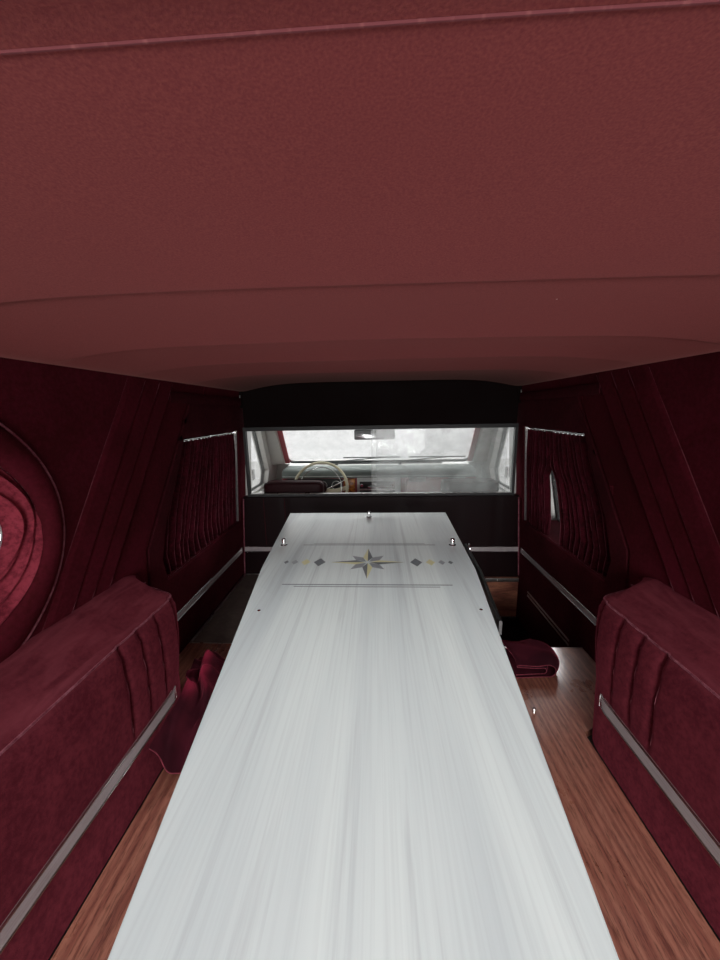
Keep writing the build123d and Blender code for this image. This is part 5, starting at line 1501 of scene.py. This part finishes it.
# Rear frame: bulb weatherstrip on three sides of the opening, and tall lamps beside it
top_run = np.linspace((-0.590, 1.3095), (0.600, 1.3095), 30)
side_run = np.linspace((0.6235, 1.286), (0.6235, 0.404), 30)
low_run = np.linspace((0.600, 0.3805), (-0.590, 0.3805), 30)
bulb = np.concatenate([top_run, [(0.6135, 1.3070), (0.6205, 1.3000)], side_run,
        [(0.6205, 0.3900), (0.6135, 0.3830)], low_run])
bulb_path = np.column_stack([bulb[:, 0], np.full(len(bulb), rear - 0.004), bulb[:, 1]])
carried("rear_weatherstrip", bulb_path, circle(0.0055, 12), rubber, up=(0, 1, 0))
for side, sign in (("right", 1), ("left", -1)):
    near, far = sorted((sign * 0.735, sign * 0.862))
    plate("tail_bezel_" + side, (near, rear - 0.012, 0.180), (far, rear + 0.001, 0.545), chrome, radius=0.022)
    for part, (z0, z1) in (("low", (0.192, 0.300)), ("mid", (0.308, 0.417)), ("high", (0.425, 0.533))):
        plate(f"tail_lens_{part}_{side}", (near + 0.012, rear - 0.019, z0), (far - 0.012, rear - 0.006, z1),
              lens_red, radius=0.014)

# Cowl: intake slats and the wipers' arms at the foot of the windscreen
for number in range(9):
    path = line_x(-0.52, 0.52, rear + 3.845 + 0.021 * number, 0.8618, 8)
    carried(f"cowl_slat_{number}", path, rounded(0.011, 0.0056, 0.002, 3), rubber)
boss_shape = [(0, 0), (0, 0.014), (0.014, 0.013), (0.020, 0.009), (0.021, 0)]
boss_y = rear + 3.815
for number, x in enumerate((-0.330, 0.180)):
    turned(f"wiper_boss_{number}", (x, boss_y, 0.8598), (0, 0, 1), boss_shape, rubber)
    arm = np.linspace((x, boss_y, 0.876), (x + 0.36, boss_y - 0.052, 0.912), 20) + screen_up * 0.012
    carried(f"wiper_arm_{number}", arm, rounded(0.010, 0.005, 0.002, 3), rubber, up=screen_up)
    blade = line_x(x + 0.06, x + 0.50, screen_foot_y - 0.038, screen_foot_z + 0.041, 20) + screen_up * 0.006
    carried(f"wiper_blade_{number}", blade, rounded(0.006, 0.009, 0.002, 3), rubber, up=screen_up)

# Front doors, inside: cards in the seats' dark vinyl with an armrest and a crank
card_outline = eased([(2.985, 0.235), (2.985, 0.700), (3.800, 0.700), (3.840, 0.640), (3.840, 0.235)], 0.050)
card_middle = card_outline.mean(0)
card_reach = card_outline - card_middle
for side, turn in both_sides:
    body = "front_door_" + side
    layers = []
    for set_in, proud in ((0.0, -0.001), (0.0, 0.006), (0.006, 0.0085), (0.05, 0.0095)):
        ring = card_middle + card_reach * (1 - set_in / np.linalg.norm(card_reach, axis=1, keepdims=True))
        layers.append(np.column_stack([wall_x(ring[:, 1]) - proud, rear + ring[:, 0], ring[:, 1]]))
    capped("door_card_" + side, turn(np.stack(layers)), seat_vinyl, body=body, slot="dash_vinyl")
    rest = line_y(0.722, rear + 3.10, rear + 3.50, 0.560, 16)
    carried("door_armrest_" + side, rest, rounded(0.045, 0.050, 0.016), seat_vinyl, turn=turn, body=body,
            slot="dash_vinyl")
    crank = np.array([[0.7255, rear + 3.62, 0.47], [0.7165, rear + 3.622, 0.475], [0.7145, rear + 3.66, 0.50],
                      [0.7140, rear + 3.70, 0.525]])
    carried("door_crank_" + side, crank, rounded(0.007, 0.014, 0.003), chrome, up=(1, 0, 0.01), turn=turn,
            body=body)


# Room: pale floor and backdrop, a lamp behind the open doorway and plain lamps round the body
def pale(name):
    """Matt pale paper that shows white to the camera, to glass and to metal, and keeps a shadow."""
    finish, tree, skin, place = new_finish(name, 0.9)
    viewed = add(tree, "LightPath").outputs["Is Camera Ray"]
    tint(tree, skin, viewed, "#e6e6e4", "#8c8c8a")
    skin.inputs["Emission Color"].default_value = colour("#f4f4f2")
    tree.links.new(add(tree, "Math", {0: viewed, 1: 0.62}, operation="MULTIPLY").outputs[0],
                   skin.inputs["Emission Strength"])
    return finish


floor_grid = np.stack(np.meshgrid(np.linspace(-9, 9, 3), np.linspace(-11, 9, 3), indexing="ij")
        + [np.full((3, 3), -0.002)], -1)
mesh = bpy.data.meshes.new("floor")
mesh.from_pydata(floor_grid.reshape(-1, 3).tolist(), [], grid_faces(3, 3).tolist())
floor = bpy.data.objects.new("floor", mesh)
bpy.context.scene.collection.objects.link(floor)
mesh.materials.append(pale("floor_paper"))

world = bpy.data.worlds.new("studio")
world.use_nodes = True
bpy.context.scene.world = world
tree = world.node_tree
sky = tree.nodes["Background"]
sky.inputs[0].default_value = (1, 1, 1, 1)
rays = add(tree, "LightPath")
seen = add(tree, "Math", {0: rays.outputs["Is Camera Ray"], 1: rays.outputs["Is Transmission Ray"]},
           operation="MAXIMUM").outputs[0]
seen = add(tree, "Math", {0: seen, 1: rays.outputs["Is Glossy Ray"]}, operation="MAXIMUM").outputs[0]
tree.links.new(add(tree, "MapRange", {0: seen, 1: 0.0, 2: 1.0, 3: 0.36, 4: 1.0}).outputs[0], sky.inputs[1])


def lamp(name, place, aim, size, power, spread=180, seen=True, sheen_on=None, spares=()):
    """Soft rectangular lamp that looks at a point.

    Unseen, it shows neither itself nor its reflection. A sheen lamp only gleams on one piece.
    The CAD nodes that it spares get no light from it.
    """
    light = bpy.data.lights.new(name, "AREA")
    light.shape = "RECTANGLE"
    light.size, light.size_y = size
    light.energy = power
    light.spread = math.radians(spread)
    stand = bpy.data.objects.new(name, light)
    stand.location = place
    stand.rotation_euler = (Vector(aim) - Vector(place)).to_track_quat("-Z", "Y").to_euler()
    stand.visible_camera = stand.visible_glossy = seen
    if sheen_on:
        stand.visible_glossy = True
        stand.visible_diffuse = stand.visible_transmission = False
        lit = bpy.data.collections.new(name + "_lit")
        lit.objects.link(sheen_on)
        stand.light_linking.receiver_collection = lit
    if spares:
        spared = bpy.data.collections.new(name + "_spares")
        for node_name in spares:
            spared.objects.link(nodes[node_name])
        for entry in spared.collection_objects:
            entry.light_linking.link_state = "EXCLUDE"
        stand.light_linking.receiver_collection = spared
    bpy.context.scene.collection.objects.link(stand)


rear_paint = ("rear_frame", "rear_door", "roof_panel", "body_side_right", "body_side_left")
lamp("doorway_lamp", (0.0, rear - 1.6, deck + 1.45), (0, rear + 1.4, deck + 0.3), (1.8, 1.0), 184,
     spares=rear_paint)
lamp("doorway_low_lamp", (0.0, rear - 0.8, deck + 0.45), (0, rear + 1.2, deck + 0.9), (1.4, 0.4), 34,
     spares=rear_paint)
lamp("cabin_lamp", (0.0, rear + 1.0, deck + 0.94), (0, rear + 1.0001, deck), (1.2, 1.6), 3.2, spread=110,
     seen=False)
lamp("left_lamp", (-4.5, rear + 1.0, 4.0), (0, 0, 0.7), (3, 3), 72)
lamp("right_lamp", (4.5, rear + 2.0, 4.0), (0, 0, 0.7), (3, 3), 72)
lamp("front_lamp", (0.0, rear + 5.6, 2.3), (0, rear + 3.3, 0.80), (2.2, 0.8), 70, spread=90, seen=False)
lamp("deck_sheen_lamp", (0.66, rear + 2.34, deck + 0.17), (0.56, rear + 2.12, deck), (0.24, 0.12), 0.9,
     seen=False, sheen_on=nodes["rear_deck"])
bpy.context.scene.view_settings.view_transform = "Standard"
